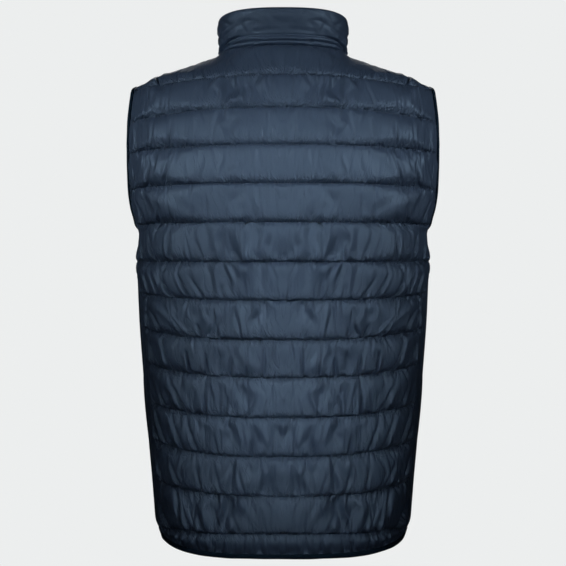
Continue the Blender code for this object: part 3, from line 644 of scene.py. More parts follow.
def shade(tree, low, high, factor):
    # sockets 6 and 7 take the colours, and the mixed colour is output 2
    ends = {0: factor, 6: (*low, 1.0), 7: (*high, 1.0)}
    return addNode(tree, "ShaderNodeMix", ends, data_type="RGBA").outputs[2]


def calc(tree, operation, *values):
    return addNode(tree, "ShaderNodeMath", dict(enumerate(values)), operation=operation).outputs[0]


def noiseAt(tree, place, scale, detail):
    noise = addNode(tree, "ShaderNodeTexNoise", {"Vector": place, "Scale": scale, "Detail": detail})
    return noise.outputs["Fac"]


def ranged(tree, value, ends):
    return addNode(tree, "ShaderNodeMapRange", {"Value": value, **ends}).outputs[0]


def bumped(tree, height, strength, depth, under=(), **settings):
    heights = {"Height": height, "Strength": strength, "Distance": depth, **dict(under)}
    return addNode(tree, "ShaderNodeBump", heights, **settings).outputs[0]


def weaveHeight(tree, scale):
    cut = addNode(tree, "ShaderNodeUVMap", uv_map="cut").outputs[0]
    threads = [addNode(tree, "ShaderNodeTexWave", {"Vector": cut, "Scale": scale},
                       bands_direction=direction).outputs["Fac"] for direction in ("X", "Y")]
    return calc(tree, "MULTIPLY", *threads)


def wrinkleHeight(tree, place, wrinkles):
    # thin creases on quilted cloth, leaning outwards as they climb
    apart = addNode(tree, "ShaderNodeSeparateXYZ", {"Vector": place})
    aside, up = calc(tree, "ABSOLUTE", apart.outputs["X"]), apart.outputs["Z"]
    leaning = calc(tree, "MULTIPLY_ADD", up, -wrinkles["lean"], aside)
    spot = addNode(tree, "ShaderNodeCombineXYZ", {"X": leaning, "Y": up}).outputs[0]
    sized = addNode(tree, "ShaderNodeVectorMath", {0: spot, 1: (*wrinkles["perMetre"], 1.0)},
                    operation="MULTIPLY").outputs[0]
    noise = noiseAt(tree, sized, scale=1.0, detail=1.0)
    away = calc(tree, "ABSOLUTE", calc(tree, "SUBTRACT", noise, 0.5))     # creases run where noise is halfway
    crease = ranged(tree, away, {"From Max": wrinkles["breadth"], "To Min": 1.0, "To Max": 0.0})
    near = addNode(tree, "ShaderNodeAttribute", attribute_name="nearLine").outputs["Fac"]
    return calc(tree, "MULTIPLY", crease, ranged(tree, near, {"From Max": wrinkles["fullAt"]}))


def setSurface(tree, shader, look, colourNoise, roughNoise, normal):
    smooth, rough = look["roughness"]
    tree.links.new(shade(tree, look["dark"], look["light"], colourNoise), shader.inputs["Base Color"])
    tree.links.new(ranged(tree, roughNoise, {"To Min": smooth, "To Max": rough}), shader.inputs["Roughness"])
    tree.links.new(normal, shader.inputs["Normal"])
    for name, value in look["shader"].items():
        shader.inputs[name].default_value = value


def clothFinish(name, cloth):
    finish, tree, shader = newFinish(name)
    place = addNode(tree, "ShaderNodeTexCoord").outputs["Object"]
    mottle = noiseAt(tree, place, cloth["mottleScale"], detail=3.0)
    grain = noiseAt(tree, place, cloth["grainScale"], detail=2.0)
    weave = weaveHeight(tree, cloth["weaveScale"])
    normal = bumped(tree, weave, cloth["weaveStrength"], cloth["weaveDepth"])
    for wrinkles in cloth["wrinkles"]:
        height = wrinkleHeight(tree, place, wrinkles)
        normal = bumped(tree, height, strength=1.0, depth=wrinkles["depth"], under={"Normal": normal},
                        invert=True)
    setSurface(tree, shader, cloth, mottle, grain, normal)
    return finish


shellNylon = clothFinish("shell_nylon", {
    "dark": (0.0209, 0.0337, 0.0618), "light": (0.0255, 0.0406, 0.0729), "mottleScale": 14.0,
    "grainScale": 900.0, "roughness": (0.52, 0.60),
    "weaveScale": 130.0, "weaveStrength": 0.25, "weaveDepth": 0.0001,
    "wrinkles": [     # by the quilt lines, and all over
        {"lean": 0.45, "perMetre": (220.0, 75.0), "breadth": 0.07, "depth": 0.0016, "fullAt": 1.0},
        {"lean": 0.15, "perMetre": (75.0, 15.0), "breadth": 0.022, "depth": 0.00022, "fullAt": 0.0001},
    ],
    "shader": {"Specular IOR Level": 0.85, "Specular Tint": (0.50, 0.74, 1.0, 1.0)},
})
liningTaffeta = clothFinish("lining_taffeta", {
    "dark": (0.010, 0.014, 0.022), "light": (0.014, 0.019, 0.029), "mottleScale": 20.0,
    "grainScale": 700.0, "roughness": (0.56, 0.64),
    "weaveScale": 110.0, "weaveStrength": 0.3, "weaveDepth": 0.0001,
    "wrinkles": [],
    "shader": {"Specular IOR Level": 0.45},
})
edgeTape = clothFinish("edge_tape", {
    "dark": (0.0030, 0.0080, 0.0155), "light": (0.0042, 0.0102, 0.0192), "mottleScale": 60.0,
    "grainScale": 1200.0, "roughness": (0.64, 0.72),
    "weaveScale": 75.0, "weaveStrength": 0.5, "weaveDepth": 0.0002,
    "wrinkles": [],
    "shader": {"Specular IOR Level": 0.16, "Specular Tint": (0.30, 0.65, 1.0, 1.0)},
})
zipCloth = clothFinish("zip_cloth", {
    "dark": (0.009, 0.013, 0.020), "light": (0.013, 0.018, 0.027), "mottleScale": 80.0,
    "grainScale": 1000.0, "roughness": (0.66, 0.74),
    "weaveScale": 60.0, "weaveStrength": 0.6, "weaveDepth": 0.0002,
    "wrinkles": [],
    "shader": {"Specular IOR Level": 0.4},
})


def hardFinish(name, surface):
    finish, tree, shader = newFinish(name)
    place = addNode(tree, "ShaderNodeTexCoord").outputs["Object"]
    grain = noiseAt(tree, place, surface["grainScale"], detail=4.0)
    normal = bumped(tree, grain, surface["grainStrength"], surface["grainDepth"])
    setSurface(tree, shader, surface, grain, grain, normal)
    return finish


zipTeethFinish = hardFinish("zip_teeth", {
    "dark": (0.010, 0.013, 0.019), "light": (0.015, 0.019, 0.026), "grainScale": 900.0, "grainDepth": 0.00005,
    "grainStrength": 0.2, "roughness": (0.36, 0.48), "shader": {"Specular IOR Level": 0.5},
})
zipMetalFinish = hardFinish("zip_metal", {
    "dark": (0.055, 0.058, 0.064), "light": (0.080, 0.083, 0.090), "grainScale": 600.0, "grainDepth": 0.00006,
    "grainStrength": 0.2, "roughness": (0.30, 0.42), "shader": {"Metallic": 0.85, "Specular IOR Level": 0.5},
})
threadFinish = hardFinish("thread", {
    "dark": (0.010, 0.015, 0.024), "light": (0.020, 0.028, 0.042), "grainScale": 2500.0, "grainDepth": 0.0001,
    "grainStrength": 0.2, "roughness": (0.56, 0.68), "shader": {"Specular IOR Level": 0.4},
})
print("finishes made")

# Quilted panels
puffCloth = {
    "quality": 5, "mass": 0.3, "tension_stiffness": 30.0, "compression_stiffness": 30.0,
    "shear_stiffness": 10.0, "bending_stiffness": 0.9, "air_damping": 1.0, "uniform_pressure_force": 1.5,
    "gravity": 0.0, "gatherFrames": 8, "frames": 15,
}
backQuilt = {
    "columns": 186, "rowsPerChannel": 18, "hemRows": 10, "overlap": 12, "innerEvery": 6,
    "puff": 0.0050, "puffShare": 0.13, "hemPuffShare": 0.19, "topShare": 0.7, "topFolds": 0.5,
    "shape": (0.92, 14.0, 7.0), "hemShape": (1.7, 2.2, 2.2),     # sag, fullness under and over
    "sideShape": (4.0, 2.2), "sidePuff": 1.9, "sideFrom": (0.45, 0.75), "sideTo": (0.80, 0.97),
    "edgeFade": 0.032, "edgeFullness": 0.9, "puckerFade": 0.020,
    "gather": 0.050, "slack": 0.050, "patchLength": 0.026,
    "slantHeights": (-0.66, -0.32, -0.22, -0.08, -0.03), "slants": (0.06, 0.05, 0.0, 0.0, 0.05),
    "slantReach": (0.0, 0.3, 0.6, 0.85, 1.0), "slantShares": (0.0, 0.1, 0.9, 1.0, 0.4),
    "lineOut": 0.0007, "lineUp": 0.0015, "lineSpacing": 2.6,
    "crumples": [(0.0058, 0.0013, 1.0), (0.0090, 0.0026, -1.0)],     # size, depth, in or out
    "crumpleStretch": 3.6, "crumpleSlant": 0.5, "crumpleWander": 0.0035, "crumpleAside": 0.8,
    "dentsAbove": 0.35,     # share of the creases' depth left by the armholes
    "dents": [     # long creases over a line and under one, then short wrinkles over and under
        {"above": False, "spacings": (0.014, 0.034), "lengths": (0.018, 0.050), "widths": (0.0022, 0.0038),
         "depth": 0.0140, "ridge": 0.28, "outward": 0.7, "turns": 0.20, "middle": 0.2},
        {"above": True, "spacings": (0.014, 0.036), "lengths": (0.010, 0.026), "widths": (0.0018, 0.0028),
         "depth": 0.0070, "ridge": 0.2, "outward": 0.3, "turns": 0.35, "middle": 0.5},
        {"above": False, "spacings": (0.008, 0.020), "lengths": (0.006, 0.015), "widths": (0.0016, 0.0024),
         "depth": 0.0040, "ridge": 0.0, "outward": 0.6, "turns": 0.50, "middle": 0.5},
        {"above": True, "spacings": (0.008, 0.020), "lengths": (0.004, 0.010), "widths": (0.0015, 0.0022),
         "depth": 0.0026, "ridge": 0.0, "outward": 0.2, "turns": 0.45, "middle": 0.6},
    ],
    "swellWidth": 11.0, "foldGain": 0.5, "foldCap": 0.004, "deepest": 0.0012,
    "wrinkleReach": (0.0055, 0.0035),     # over and under a line
    "seed": 29,
}
frontQuilt = dict(backQuilt, columns=112, rowsPerChannel=16, hemRows=8, lineSpacing=2.2, swellWidth=6.5,
                  seed=11)


def markLines(made, panel, quilt):
    # how close each outside point is to a quilt line
    near = np.zeros(panel.across.shape)
    for line in quiltLines(panel)[1:-1]:
        away = panel.up - panel.up[line]
        reach = np.where(away > 0, *quilt["wrinkleReach"])
        near = np.maximum(near, np.exp(-np.abs(away) / reach))
    values = np.zeros(len(made.data.vertices), np.float32)
    values[:near.size] = near.ravel()
    made.data.attributes.new("nearLine", "FLOAT", "POINT").data.foreach_set("value", values)


def quiltPins(panel, edges):
    pinned = np.zeros(panel.across.shape, bool)
    pinned[quiltLines(panel)] = True
    for edge in edges:
        pinned[:, edge] = True
    return pinned


def makeBack(quilt):
    panel = wholeBack(quilt)
    start = quilt["columns"] - quilt["overlap"]
    half = panelOf(panel.rows, panel.points[:, start:], panel.normals[:, start:])
    rise = channelRise(panel, quilt)[:, start:]
    surface = foldedSurface(half, rise, quiltPins(half, [-1]), quilt, puffCloth, quilt["overlap"])
    outer = mirrorHalves(surface, quilt["overlap"])
    inside = panel.points - vestForm["wall"] * panel.normals
    made = wallObject("back_cloth", panel, outer, inside, quilt["innerEvery"], [shellNylon, liningTaffeta])
    markLines(made, panel, quilt)
    return made, panel, outer


def makeFronts(quilt):
    panel = leftFront(quilt)
    rise = channelRise(panel, quilt)
    outer = foldedSurface(panel, rise, quiltPins(panel, [0, -1]), quilt, puffCloth, 0)
    made = []
    for side, turn in bothSides:
        turned = panelOf(panel.rows, panel.points * turn, panel.normals * turn)
        inside = turned.points - vestForm["wall"] * turned.normals
        made.append(wallObject("front_%s_cloth" % side, turned, outer * turn, inside, quilt["innerEvery"],
                               [shellNylon, liningTaffeta]))
        markLines(made[-1], panel, quilt)
    return made, panel, outer


backCloth, backPanel, backOuter = makeBack(backQuilt)
print("back quilted")
frontCloths, frontPanel, frontOuter = makeFronts(frontQuilt)
print("fronts quilted")
for cloth, node in zip([backCloth, *frontCloths], ("back", "front_left", "front_right")):
    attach(cloth, "vest")
    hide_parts(node)


# Collar: padded stand, with a soft roll over the back neck seam and a crease above the roll
collarCut = {
    "columns": 150, "rings": 52, "overlap": 10, "innerEvery": 4, "lift": 0.0005,
    "topHalfWidth": 0.0826, "topBackY": 0.0720, "topFrontY": -0.0790, "topSideZ": 0.0420,
    "tilt": 0.285, "ease": 1.2, "power": 2.65,
    "shares": (0.0, 0.10, 0.30, 0.52, 0.78, 0.95, 1.0),
    "thickness": (0.0024, 0.0046, 0.0050, 0.0064, 0.0066, 0.0050, 0.0030),
    "bulge": (0.0, 0.0006, 0.0004, 0.0014, 0.0038, 0.0038, 0.0014),
    "seamShare": 0.105, "seamDepth": 0.0013, "seamWidth": 0.022, "strip": 0.0016,
    "roll": 0.0034, "rollCurve": 0.5, "rollFullness": 0.8, "creaseShare": 0.26, "lowestCrease": 0.02,
    "creaseCurve": 0.7, "creaseDepth": 0.0016, "sideCreaseDepth": 0.0052, "creaseWidth": 0.030,
    "rollFrom": (0.018, 0.056), "creaseFrom": (0.008, 0.026), "sideCreaseTo": (0.030, 0.062),     # depths, y
    "overhang": 0.0034, "overhangFrom": (0.012, 0.032), "overhangTo": (0.050, 0.062),     # depths, y
    "overhangUp": (-0.01, 0.045), "overhangTop": (0.35, 0.90),     # shares of the height
    "cornerFill": 0.0018, "cornerTo": (0.015, 0.035), "cornerTop": (0.0, 0.16),
    "gatherDepth": 0.0018, "gatherSpacing": 3.0, "gatherReach": 0.09, "gatherUp": (0.0, 0.05),
    "folds": [  # start and end: distance from the middle of the back, height over the neck seam; depth, width
        ((0.086, 0.018), (0.052, 0.030), 0.0014, 0.0024), ((0.088, 0.024), (0.064, 0.033), 0.0010, 0.0022),
        ((0.040, 0.018), (0.000, 0.022), 0.0006, 0.0030), ((0.150, 0.010), (0.120, 0.030), 0.0010, 0.0035),
        ((0.190, 0.012), (0.205, 0.034), 0.0009, 0.0035),
    ],
    "gather": 0.014, "slack": 0.02, "patchLength": 0.03, "slantHeights": (-0.1, 0.1), "slants": (0.0, 1.0),
    "slantReach": (0.0, 1.0), "slantShares": (0.0, 0.0), "dents": [], "topFolds": 1.0, "puckerFade": 0.010,
    "crumples": [(0.011, 0.0009, 1.0)], "crumpleStretch": 0.7, "crumpleSlant": 0.0, "crumpleWander": 0.004,
    "crumpleAside": 0.0,
    "swellWidth": 9.0, "foldGain": 0.7, "foldCap": 0.0016, "deepest": 0.0012, "seed": 3,
    "tuck": 0.0030, "tuckDepth": 0.0042,
}
collarCloth = dict(puffCloth, bending_stiffness=4.0, uniform_pressure_force=0.8)


def valuesAt(shares, values, wanted):
    return rowsThrough(shares, np.array(values)[:, None, None], wanted)[:, 0, 0]


def trough(across, up, start, end, depth, width):
    along = np.subtract(end, start)
    length = np.hypot(*along)
    along = along / length
    run = (across - start[0]) * along[0] + (up - start[1]) * along[1]
    off = (up - start[1]) * along[0] - (across - start[0]) * along[1]
    taper = np.sin(np.pi * np.clip(run / length, 0.0, 1.0) ** uneven["troughTaper"])
    return -depth * taper * np.exp(-(off / width) ** 2)


def collarPanel(cut):
    first = np.searchsorted(frontPanel.rows, vestForm["frontNeck"])
    middle = backQuilt["columns"]
    behind = backPanel.points[-1, middle:middle + middle // 2]
    before = frontPanel.points[:first - 1:-1, 0]
    bottom = evenPoints(np.concatenate([behind, before]), cut["columns"])
    xBack, yBack = planArc(cut["topHalfWidth"], cut["topBackY"], cut["power"], 0.0, 0.0)
    xFront, yFront = planArc(cut["topHalfWidth"], -cut["topFrontY"], cut["power"], vestForm["frontEdgeX"],
                             0.0)
    x = np.concatenate([xBack, xFront[-2::-1]])
    y = np.concatenate([yBack, -yFront[-2::-1]])
    z = cut["topSideZ"] + cut["tilt"] * y - cut["ease"] * np.maximum(y, 0.0) ** 2
    top = evenPoints(np.stack([x, y, z], axis=1), cut["columns"])
    shares = np.linspace(0.0, 1.0, cut["rings"])
    lifted = bottom + cut["lift"] * unitVectors(top - bottom)
    half = lifted + shares[:, None, None] * (top - lifted)
    points = np.concatenate([half[:, :0:-1] * flip, half], axis=1)
    normals = gridNormals(points, 1.0)
    outward = (points[..., :2] * normals[..., :2]).sum(axis=2, keepdims=True)
    normals *= np.sign(outward)
    normals[:, [0, -1], 0] = 0.0
    points[:, 0, 0] += vestForm["seamLap"]
    points[:, -1, 0] -= vestForm["seamLap"]
    return panelOf(shares, points, unitVectors(normals))


def collarRise(panel, cut):
    # height of the outside over the middle surface, the creases sewn into it and where the main one runs
    rng = np.random.default_rng(cut["seed"])
    share = panel.rows[:, None]
    thickness = valuesAt(cut["shares"], cut["thickness"], panel.rows)[:, None]
    bulge = valuesAt(cut["shares"], cut["bulge"], panel.rows)[:, None]
    y = panel.points[0, :, 1]
    behind = smoothStep(y, *cut["rollFrom"])
    creaseAt = np.maximum(cut["creaseShare"] * behind ** cut["creaseCurve"], cut["lowestCrease"])[None]
    seamAt = cut["seamShare"] / cut["creaseShare"] * creaseAt
    above = np.clip((share - seamAt) / (creaseAt - seamAt), 0.0, 1.0)
    below = np.clip(share / seamAt, 0.0, 1.0)
    fullness = np.sin(np.pi * above ** cut["rollFullness"]) ** cut["rollFullness"]
    roll = cut["roll"] * behind ** cut["rollCurve"] * fullness
    roll = roll + cut["strip"] * behind * np.sin(np.pi * below)
    deeper = (cut["sideCreaseDepth"] - cut["creaseDepth"]) * (1 - smoothStep(y, *cut["sideCreaseTo"]))
    crease = (cut["creaseDepth"] + deeper) * smoothStep(y, *cut["creaseFrom"])
    crease = crease * np.exp(-((share - creaseAt) / cut["creaseWidth"]) ** 2)
    overhang = smoothStep(y, *cut["overhangFrom"]) * (1 - smoothStep(y, *cut["overhangTo"])) * cut["overhang"]
    overhang = overhang * smoothStep(share - creaseAt, *cut["overhangUp"])
    overhang = overhang * (1 - smoothStep(share, *cut["overhangTop"]))
    corner = cut["cornerFill"] * (1 - smoothStep(np.abs(y), *cut["cornerTo"]))
    corner = corner * (1 - smoothStep(share, *cut["cornerTop"]))
    seam = cut["seamDepth"] * behind * np.exp(-((share - seamAt) / cut["seamWidth"]) ** 2)
    gathers = wave(len(y), cut["gatherSpacing"], rng) * behind * cut["gatherDepth"]
    gathers = gathers * np.exp(-np.abs(share - seamAt) / cut["gatherReach"])
    gathers = gathers * smoothStep(share, *cut["gatherUp"])
    rise = thickness / 2 + bulge + roll + overhang + corner
    details = gathers - crease - seam
    distance = np.abs(panel.across - panel.across[:, [cut["columns"]]])
    for start, end, foldDepth, width in cut["folds"]:
        details += trough(distance, panel.up, start, end, foldDepth, width)
    return rise, details, thickness / 2, creaseAt[0]


def makeCollar(cut):
    panel = collarPanel(cut)
    rise, details, depth, creaseAt = collarRise(panel, cut)
    start = cut["columns"] - cut["overlap"]
    half = panelOf(panel.rows, panel.points[:, start:], panel.normals[:, start:])
    pinned = np.zeros(half.across.shape, bool)
    pinned[[0, -1]] = True
    pinned[:, -1] = True
    creaseRow = np.rint(creaseAt[start:] * (cut["rings"] - 1)).astype(int)
    pinned[creaseRow, np.arange(len(creaseRow))] = True
    surface = foldedSurface(half, rise[:, start:], pinned, cut, collarCloth, cut["overlap"])
    surface += details[:, start:, None] * half.normals
    outer = mirrorHalves(surface, cut["overlap"])
    inside = panel.points - depth[..., None] * panel.normals
    inside[0] = panel.points[0] - cut["tuckDepth"] * panel.normals[0]    # seam allowance inside the neck edge
    inside[0, :, 2] -= cut["tuck"]
    made = wallObject("collar_cloth", panel, outer, inside, cut["innerEvery"], [shellNylon, liningTaffeta])
    return made, panel


collar, collarPanelForm = makeCollar(collarCut)
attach(collar, "vest")
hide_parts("collar")
print("collar made")

# Plain side panels: thin cloth drawn into short pulls by the seams, with a few long soft folds
sideCut = {
    "columns": 56, "rowsPerChannel": 22, "hemRows": 12, "seed": 5,
    "pullSpacing": 0.019, "pullLengths": (0.008, 0.022), "pullDepth": 0.0011, "pullWidths": (0.0014, 0.0026),
    "pullEnds": (0.012, 0.010), "pullLeans": (-0.9, 0.5), "pullShift": 0.006, "pullOverlap": 0.3,
    "pullRange": (0.4, 1.3), "edgeEase": (-0.001, 0.003), "endEase": 0.006,
    "folds": [  # start and end as shares of width and height, depth, width
        ((0.25, 0.92), (0.60, 0.55), 0.0018, 0.007), ((0.75, 0.95), (0.45, 0.62), 0.0016, 0.006),
        ((0.30, 0.50), (0.55, 0.18), -0.0014, 0.009), ((0.80, 0.45), (0.62, 0.10), 0.0015, 0.008),
        ((0.15, 0.30), (0.30, 0.03), 0.0013, 0.006), ((0.50, 0.98), (0.52, 0.70), -0.0012, 0.006),
    ],
}


def sideCreases(panel, cut):
    rng = np.random.default_rng(cut["seed"])
    width, height = panel.across.max(), panel.up.max()
    rise = np.zeros(panel.across.shape)
    lowest, fromTop = cut["pullEnds"]
    for seam, inward in ((0.0, 1.0), (1.0, -1.0)):
        for level in np.arange(lowest, height - fromTop, cut["pullSpacing"]):
            length = rng.uniform(*cut["pullLengths"])
            lean = rng.uniform(*cut["pullLeans"])
            level = level + rng.uniform(-cut["pullShift"], cut["pullShift"])
            edge = panel.across[np.argmin(np.abs(panel.up[:, 0] - level)), -1] * seam
            start = (edge - inward * cut["pullOverlap"] * length, level)
            end = (edge + inward * length * math.cos(lean), level + length * math.sin(lean))
            depth = cut["pullDepth"] * rng.uniform(*cut["pullRange"])
            rise += trough(panel.across, panel.up, start, end, depth, rng.uniform(*cut["pullWidths"]))
    for start, end, depth, foldWidth in cut["folds"]:
        rise += trough(panel.across, panel.up, (start[0] * width, start[1] * height),
                       (end[0] * width, end[1] * height), depth, foldWidth)
    edge = np.minimum(panel.across, panel.across[:, -1:] - panel.across)
    ends = np.minimum(panel.up, panel.up[-1:] - panel.up)
    return rise * smoothStep(edge, *cut["edgeEase"]) * smoothStep(ends, 0.0, cut["endEase"])


def makeSides(cut):
    panel = leftSide(cut)
    outer = panel.points + sideCreases(panel, cut)[..., None] * panel.normals
    uvs = np.stack([panel.across, panel.up], axis=2)
    made = []
    for side, turn in bothSides:
        made.append(sheetObject("side_%s_cloth" % side, outer * turn, panel.normals * turn, uvs,
                                vestForm["plainWall"], False, [shellNylon]))
    return made, panel


sideCloths, sidePanel = makeSides(sideCut)
for cloth, node in zip(sideCloths, ("side_left", "side_right")):
    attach(cloth, "vest")
    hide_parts(node)

# Edge tapes folded round the armholes and the hem
edgeTapes = {
    "thickness": 0.0006, "step": 0.0022, "sectionSteps": 14, "edgePoints": 120, "evenPasses": 6,
    "unevenness": 0.00025, "waveSpacings": (9.0, 7.0), "joinEase": 0.3, "seed": 9,
    "armhole": [(0.0002, 0.0012), (0.0030, 0.0019), (0.0052, 0.0006), (0.0058, -0.0016), (0.0052, -0.0036),
                (0.0030, -0.0045), (0.0006, -0.0040)],
    "hem": [(0.0000, 0.0014), (0.0040, 0.0020), (0.0062, 0.0004), (0.0068, -0.0016), (0.0062, -0.0034),
            (0.0040, -0.0045), (0.0006, -0.0040)],
}


def armholeEdgeOf(panel, count):
    at = np.linspace(vestForm["armholeFoot"], panel.rows[-1], count)
    return [rowsAt(at, panel.rows, grid[:, -1]) for grid in (panel.points, panel.normals)]


def evenRun(line, normals, step):
    along = lengthsAlong(line)
    wanted = np.linspace(0.0, along[-1], round(along[-1] / step) + 1)
    return pointsAt(line, wanted), rowsAt(wanted, along, normals)


def evenedOut(vectors, passes, closed):
    for _ in range(passes):
        before, after = np.roll(vectors, 1, axis=0), np.roll(vectors, -1, axis=0)
        if not closed:
            before[0], after[-1] = vectors[0], vectors[-1]
        vectors = unitVectors(before + 2 * vectors + after)
    return vectors


def armholeRun(tape):
    parts = [armholeEdgeOf(backPanel, tape["edgePoints"]), armholeEdgeOf(frontPanel, tape["edgePoints"]),
             (sidePanel.points[-1], sidePanel.normals[-1])]
    line, normals = (np.concatenate([behind, before[-2::-1], foot[-2:0:-1], behind[:1]])
                     for behind, before, foot in zip(*parts))
    line, normals = evenRun(line, normals, tape["step"])
    line, normals = line[:-1], evenedOut(normals[:-1], tape["evenPasses"], True)
    along = np.roll(line, -1, axis=0) - np.roll(line, 1, axis=0)
    towards = unitVectors(np.cross(along, normals))
    towards *= np.sign((towards * (line.mean(axis=0) - line)).sum(axis=1, keepdims=True))
    return line, normals, evenedOut(towards, tape["evenPasses"], True)


def hemRun(tape):
    middle = backQuilt["columns"]
    parts = [(panel.points[0], panel.normals[0]) for panel in (frontPanel, sidePanel, backPanel)]
    halves = (np.concatenate([before, side[::-1], behind[:middle - 1:-1]])
              for before, side, behind in zip(*parts))
    line, normals = (np.concatenate([half, half[-2::-1] * flip]) for half in halves)
    line, normals = evenRun(line, normals, tape["step"])
    normals = evenedOut(normals, tape["evenPasses"], False)
    towards = unitVectors(np.cross(np.gradient(line, axis=0), normals))
    towards *= -np.sign(towards[:, 2:])
    return line, normals, evenedOut(towards, tape["evenPasses"], False)


def tapeObject(name, run, section, closed, turn, tape):
    line, normals, towards = run
    rng = np.random.default_rng(tape["seed"])
    steps = np.linspace(0.0, 1.0, tape["sectionSteps"])
    profile = rowsThrough(np.linspace(0.0, 1.0, len(section)), np.array(section)[:, None], steps)[:, 0]
    waves = np.stack([wave(len(line), spacing, rng) for spacing in tape["waveSpacings"]], axis=1)
    if closed:
        waves *= np.sin(np.pi * np.linspace(0.0, 1.0, len(line)))[:, None] ** tape["joinEase"]
    reach = profile[None] + tape["unevenness"] * waves[:, None] * np.sin(np.pi * steps)[None, :, None]
    grid = line[:, None] + reach[..., :1] * towards[:, None] + reach[..., 1:] * normals[:, None]
    if closed:
        grid = np.concatenate([grid, grid[:1]])
    width = lengthsAlong(profile)
    length = lengthsAlong(grid[:, 0])
    uvs = np.stack(np.meshgrid(width, length), axis=2)
    outward = grid - grid.mean(axis=1, keepdims=True)
    made = sheetObject(name, grid * turn, outward * turn, uvs, tape["thickness"], closed, [edgeTape])
    return made, (round(float(width[-1]), 4), round(float(lengthsAlong(grid[:, len(width) // 2])[-1]), 3))


armholeEdge = armholeRun(edgeTapes)
hemEdge = hemRun(edgeTapes)
for name, run, section, closed, turn in (
        ("armhole_binding_left", armholeEdge, edgeTapes["armhole"], True, np.ones(3)),
        ("armhole_binding_right", armholeEdge, edgeTapes["armhole"], True, flip),
        ("hem_binding", hemEdge, edgeTapes["hem"], False, np.ones(3))):
    tapePiece, tapeFlat = tapeObject(name + "_tape", run, section, closed, turn, edgeTapes)
    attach(tapePiece, "vest")
    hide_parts(name)
    print(tapePiece.name, "cut", tapeFlat)

# Closed zip
zipParts = {
    "tapeInner": 0.0003, "tapeReach": 0.0098, "tapeDepth": -0.0008, "tapeThickness": 0.0010,
    "tapeStep": 0.003, "tapeColumns": 6, "leastWidth": 0.010, "evenPasses": 8, "foot": 0.0060,
    "toothPitch": 0.0013, "toothSize": (0.0036, 0.0010, 0.0017), "toothOffset": 0.0009,
    "toothOut": 0.0004, "toothBevel": 0.0002, "sliderFoot": 0.0136,
}


def zipRun(parts):
    last = np.searchsorted(frontPanel.rows, vestForm["frontNeck"])
    line = np.concatenate([frontPanel.points[:last + 1, 0], collarPanelForm.points[1:, -1]])
    normals = np.concatenate([frontPanel.normals[:last + 1, 0], collarPanelForm.normals[1:, -1]])
    normals[:, 0] = 0.0
    line[:, 0] = vestForm["frontEdgeX"]
    line[0] -= parts["foot"] * unitVectors(line[1] - line[0])    # down to the hem tape's edge
    line, normals = evenRun(line, unitVectors(normals), parts["tapeStep"])
    return line, evenedOut(normals, parts["evenPasses"], False)


def makeZipTapes(run, parts):
    line, normals = run
    across = np.linspace(parts["tapeInner"], parts["tapeReach"], parts["tapeColumns"])
    grid = line[:, None] + parts["tapeDepth"] * normals[:, None] - across[None, :, None] * alongX
    length = lengthsAlong(line)
    uvs = np.stack(np.meshgrid(across, length), axis=2)
    for side, turn in bothSides:
        made = sheetObject("zip_tape_%s_cloth" % side, grid * turn, normals[:, None] * turn, uvs,
                           parts["tapeThickness"], False, [zipCloth])
        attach(made, "vest")
        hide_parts("zip_tape_" + side)


def makeZipTeeth(run, parts):
    line, normals = run
    middle = line * np.array([0.0, 1.0, 1.0])
    along = lengthsAlong(middle)
    wanted = np.arange(parts["toothPitch"], along[-1] - parts["sliderFoot"], parts["toothPitch"])
    outs = unitVectors(rowsAt(wanted, along, normals))
    side = np.where(np.arange(len(wanted)) % 2 == 0, 1.0, -1.0)
    places = pointsAt(middle, wanted) + (parts["toothOffset"] * side)[:, None] * alongX
    places = places + parts["toothOut"] * outs
    tooth = bmesh.new()
    bmesh.ops.create_cube(tooth, size=1.0)
    bmesh.ops.scale(tooth, vec=parts["toothSize"], verts=tooth.verts[:])
    bmesh.ops.bevel(tooth, geom=tooth.edges[:], offset=parts["toothBevel"], segments=1, profile=0.5,
                    affect="EDGES", material=-1)
    sideways = np.tile(alongX, (len(places), 1))
    made = joinCopies("zip_teeth", tooth, list(zip(places, sideways, outs)), [zipTeethFinish])
    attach(made, "vest")
    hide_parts("zip_chain")
    print("zip teeth", len(places))


zipEdge = zipRun(zipParts)
makeZipTapes(zipEdge, zipParts)
makeZipTeeth(zipEdge, zipParts)
for name in ("zip_slider", "zip_pull"):
    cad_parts[name].data.materials.clear()
    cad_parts[name].data.materials.append(zipMetalFinish)
print("zip made")

# Sewing
sewing = {"pitch": 0.0032, "length": 0.0024, "radius": 0.00032, "lift": 0.0002, "segments": 5, "rings": 4}


def stitchPlaces(line, normals, sew):
    along = lengthsAlong(line)
    count = max(2, int(along[-1] / sew["pitch"]))
    wanted = (np.arange(count) + 0.5) * along[-1] / count
    middles = pointsAt(line, wanted)
    outs = unitVectors(rowsAt(wanted, along, normals))
    ahead = pointsAt(line, wanted + sew["length"] / 2) - pointsAt(line, wanted - sew["length"] / 2)
    return list(zip(middles + sew["lift"] * outs, unitVectors(ahead), outs))


def stitchObject(name, places, sew):
    stitch = bmesh.new()
    bmesh.ops.create_uvsphere(stitch, u_segments=sew["segments"], v_segments=sew["rings"], radius=1.0)
    bmesh.ops.scale(stitch, vec=(sew["length"] / 2, sew["radius"], sew["radius"]), verts=stitch.verts[:])
    made = joinCopies(name, stitch, places, [threadFinish])
    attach(made, "vest")


def quiltStitches(panel, outer, turn, sew):
    places = []
    for row in quiltLines(panel)[1:-1]:
        places.extend(stitchPlaces(outer[row, 1:-1] * turn, panel.normals[row, 1:-1] * turn, sew))
    return places


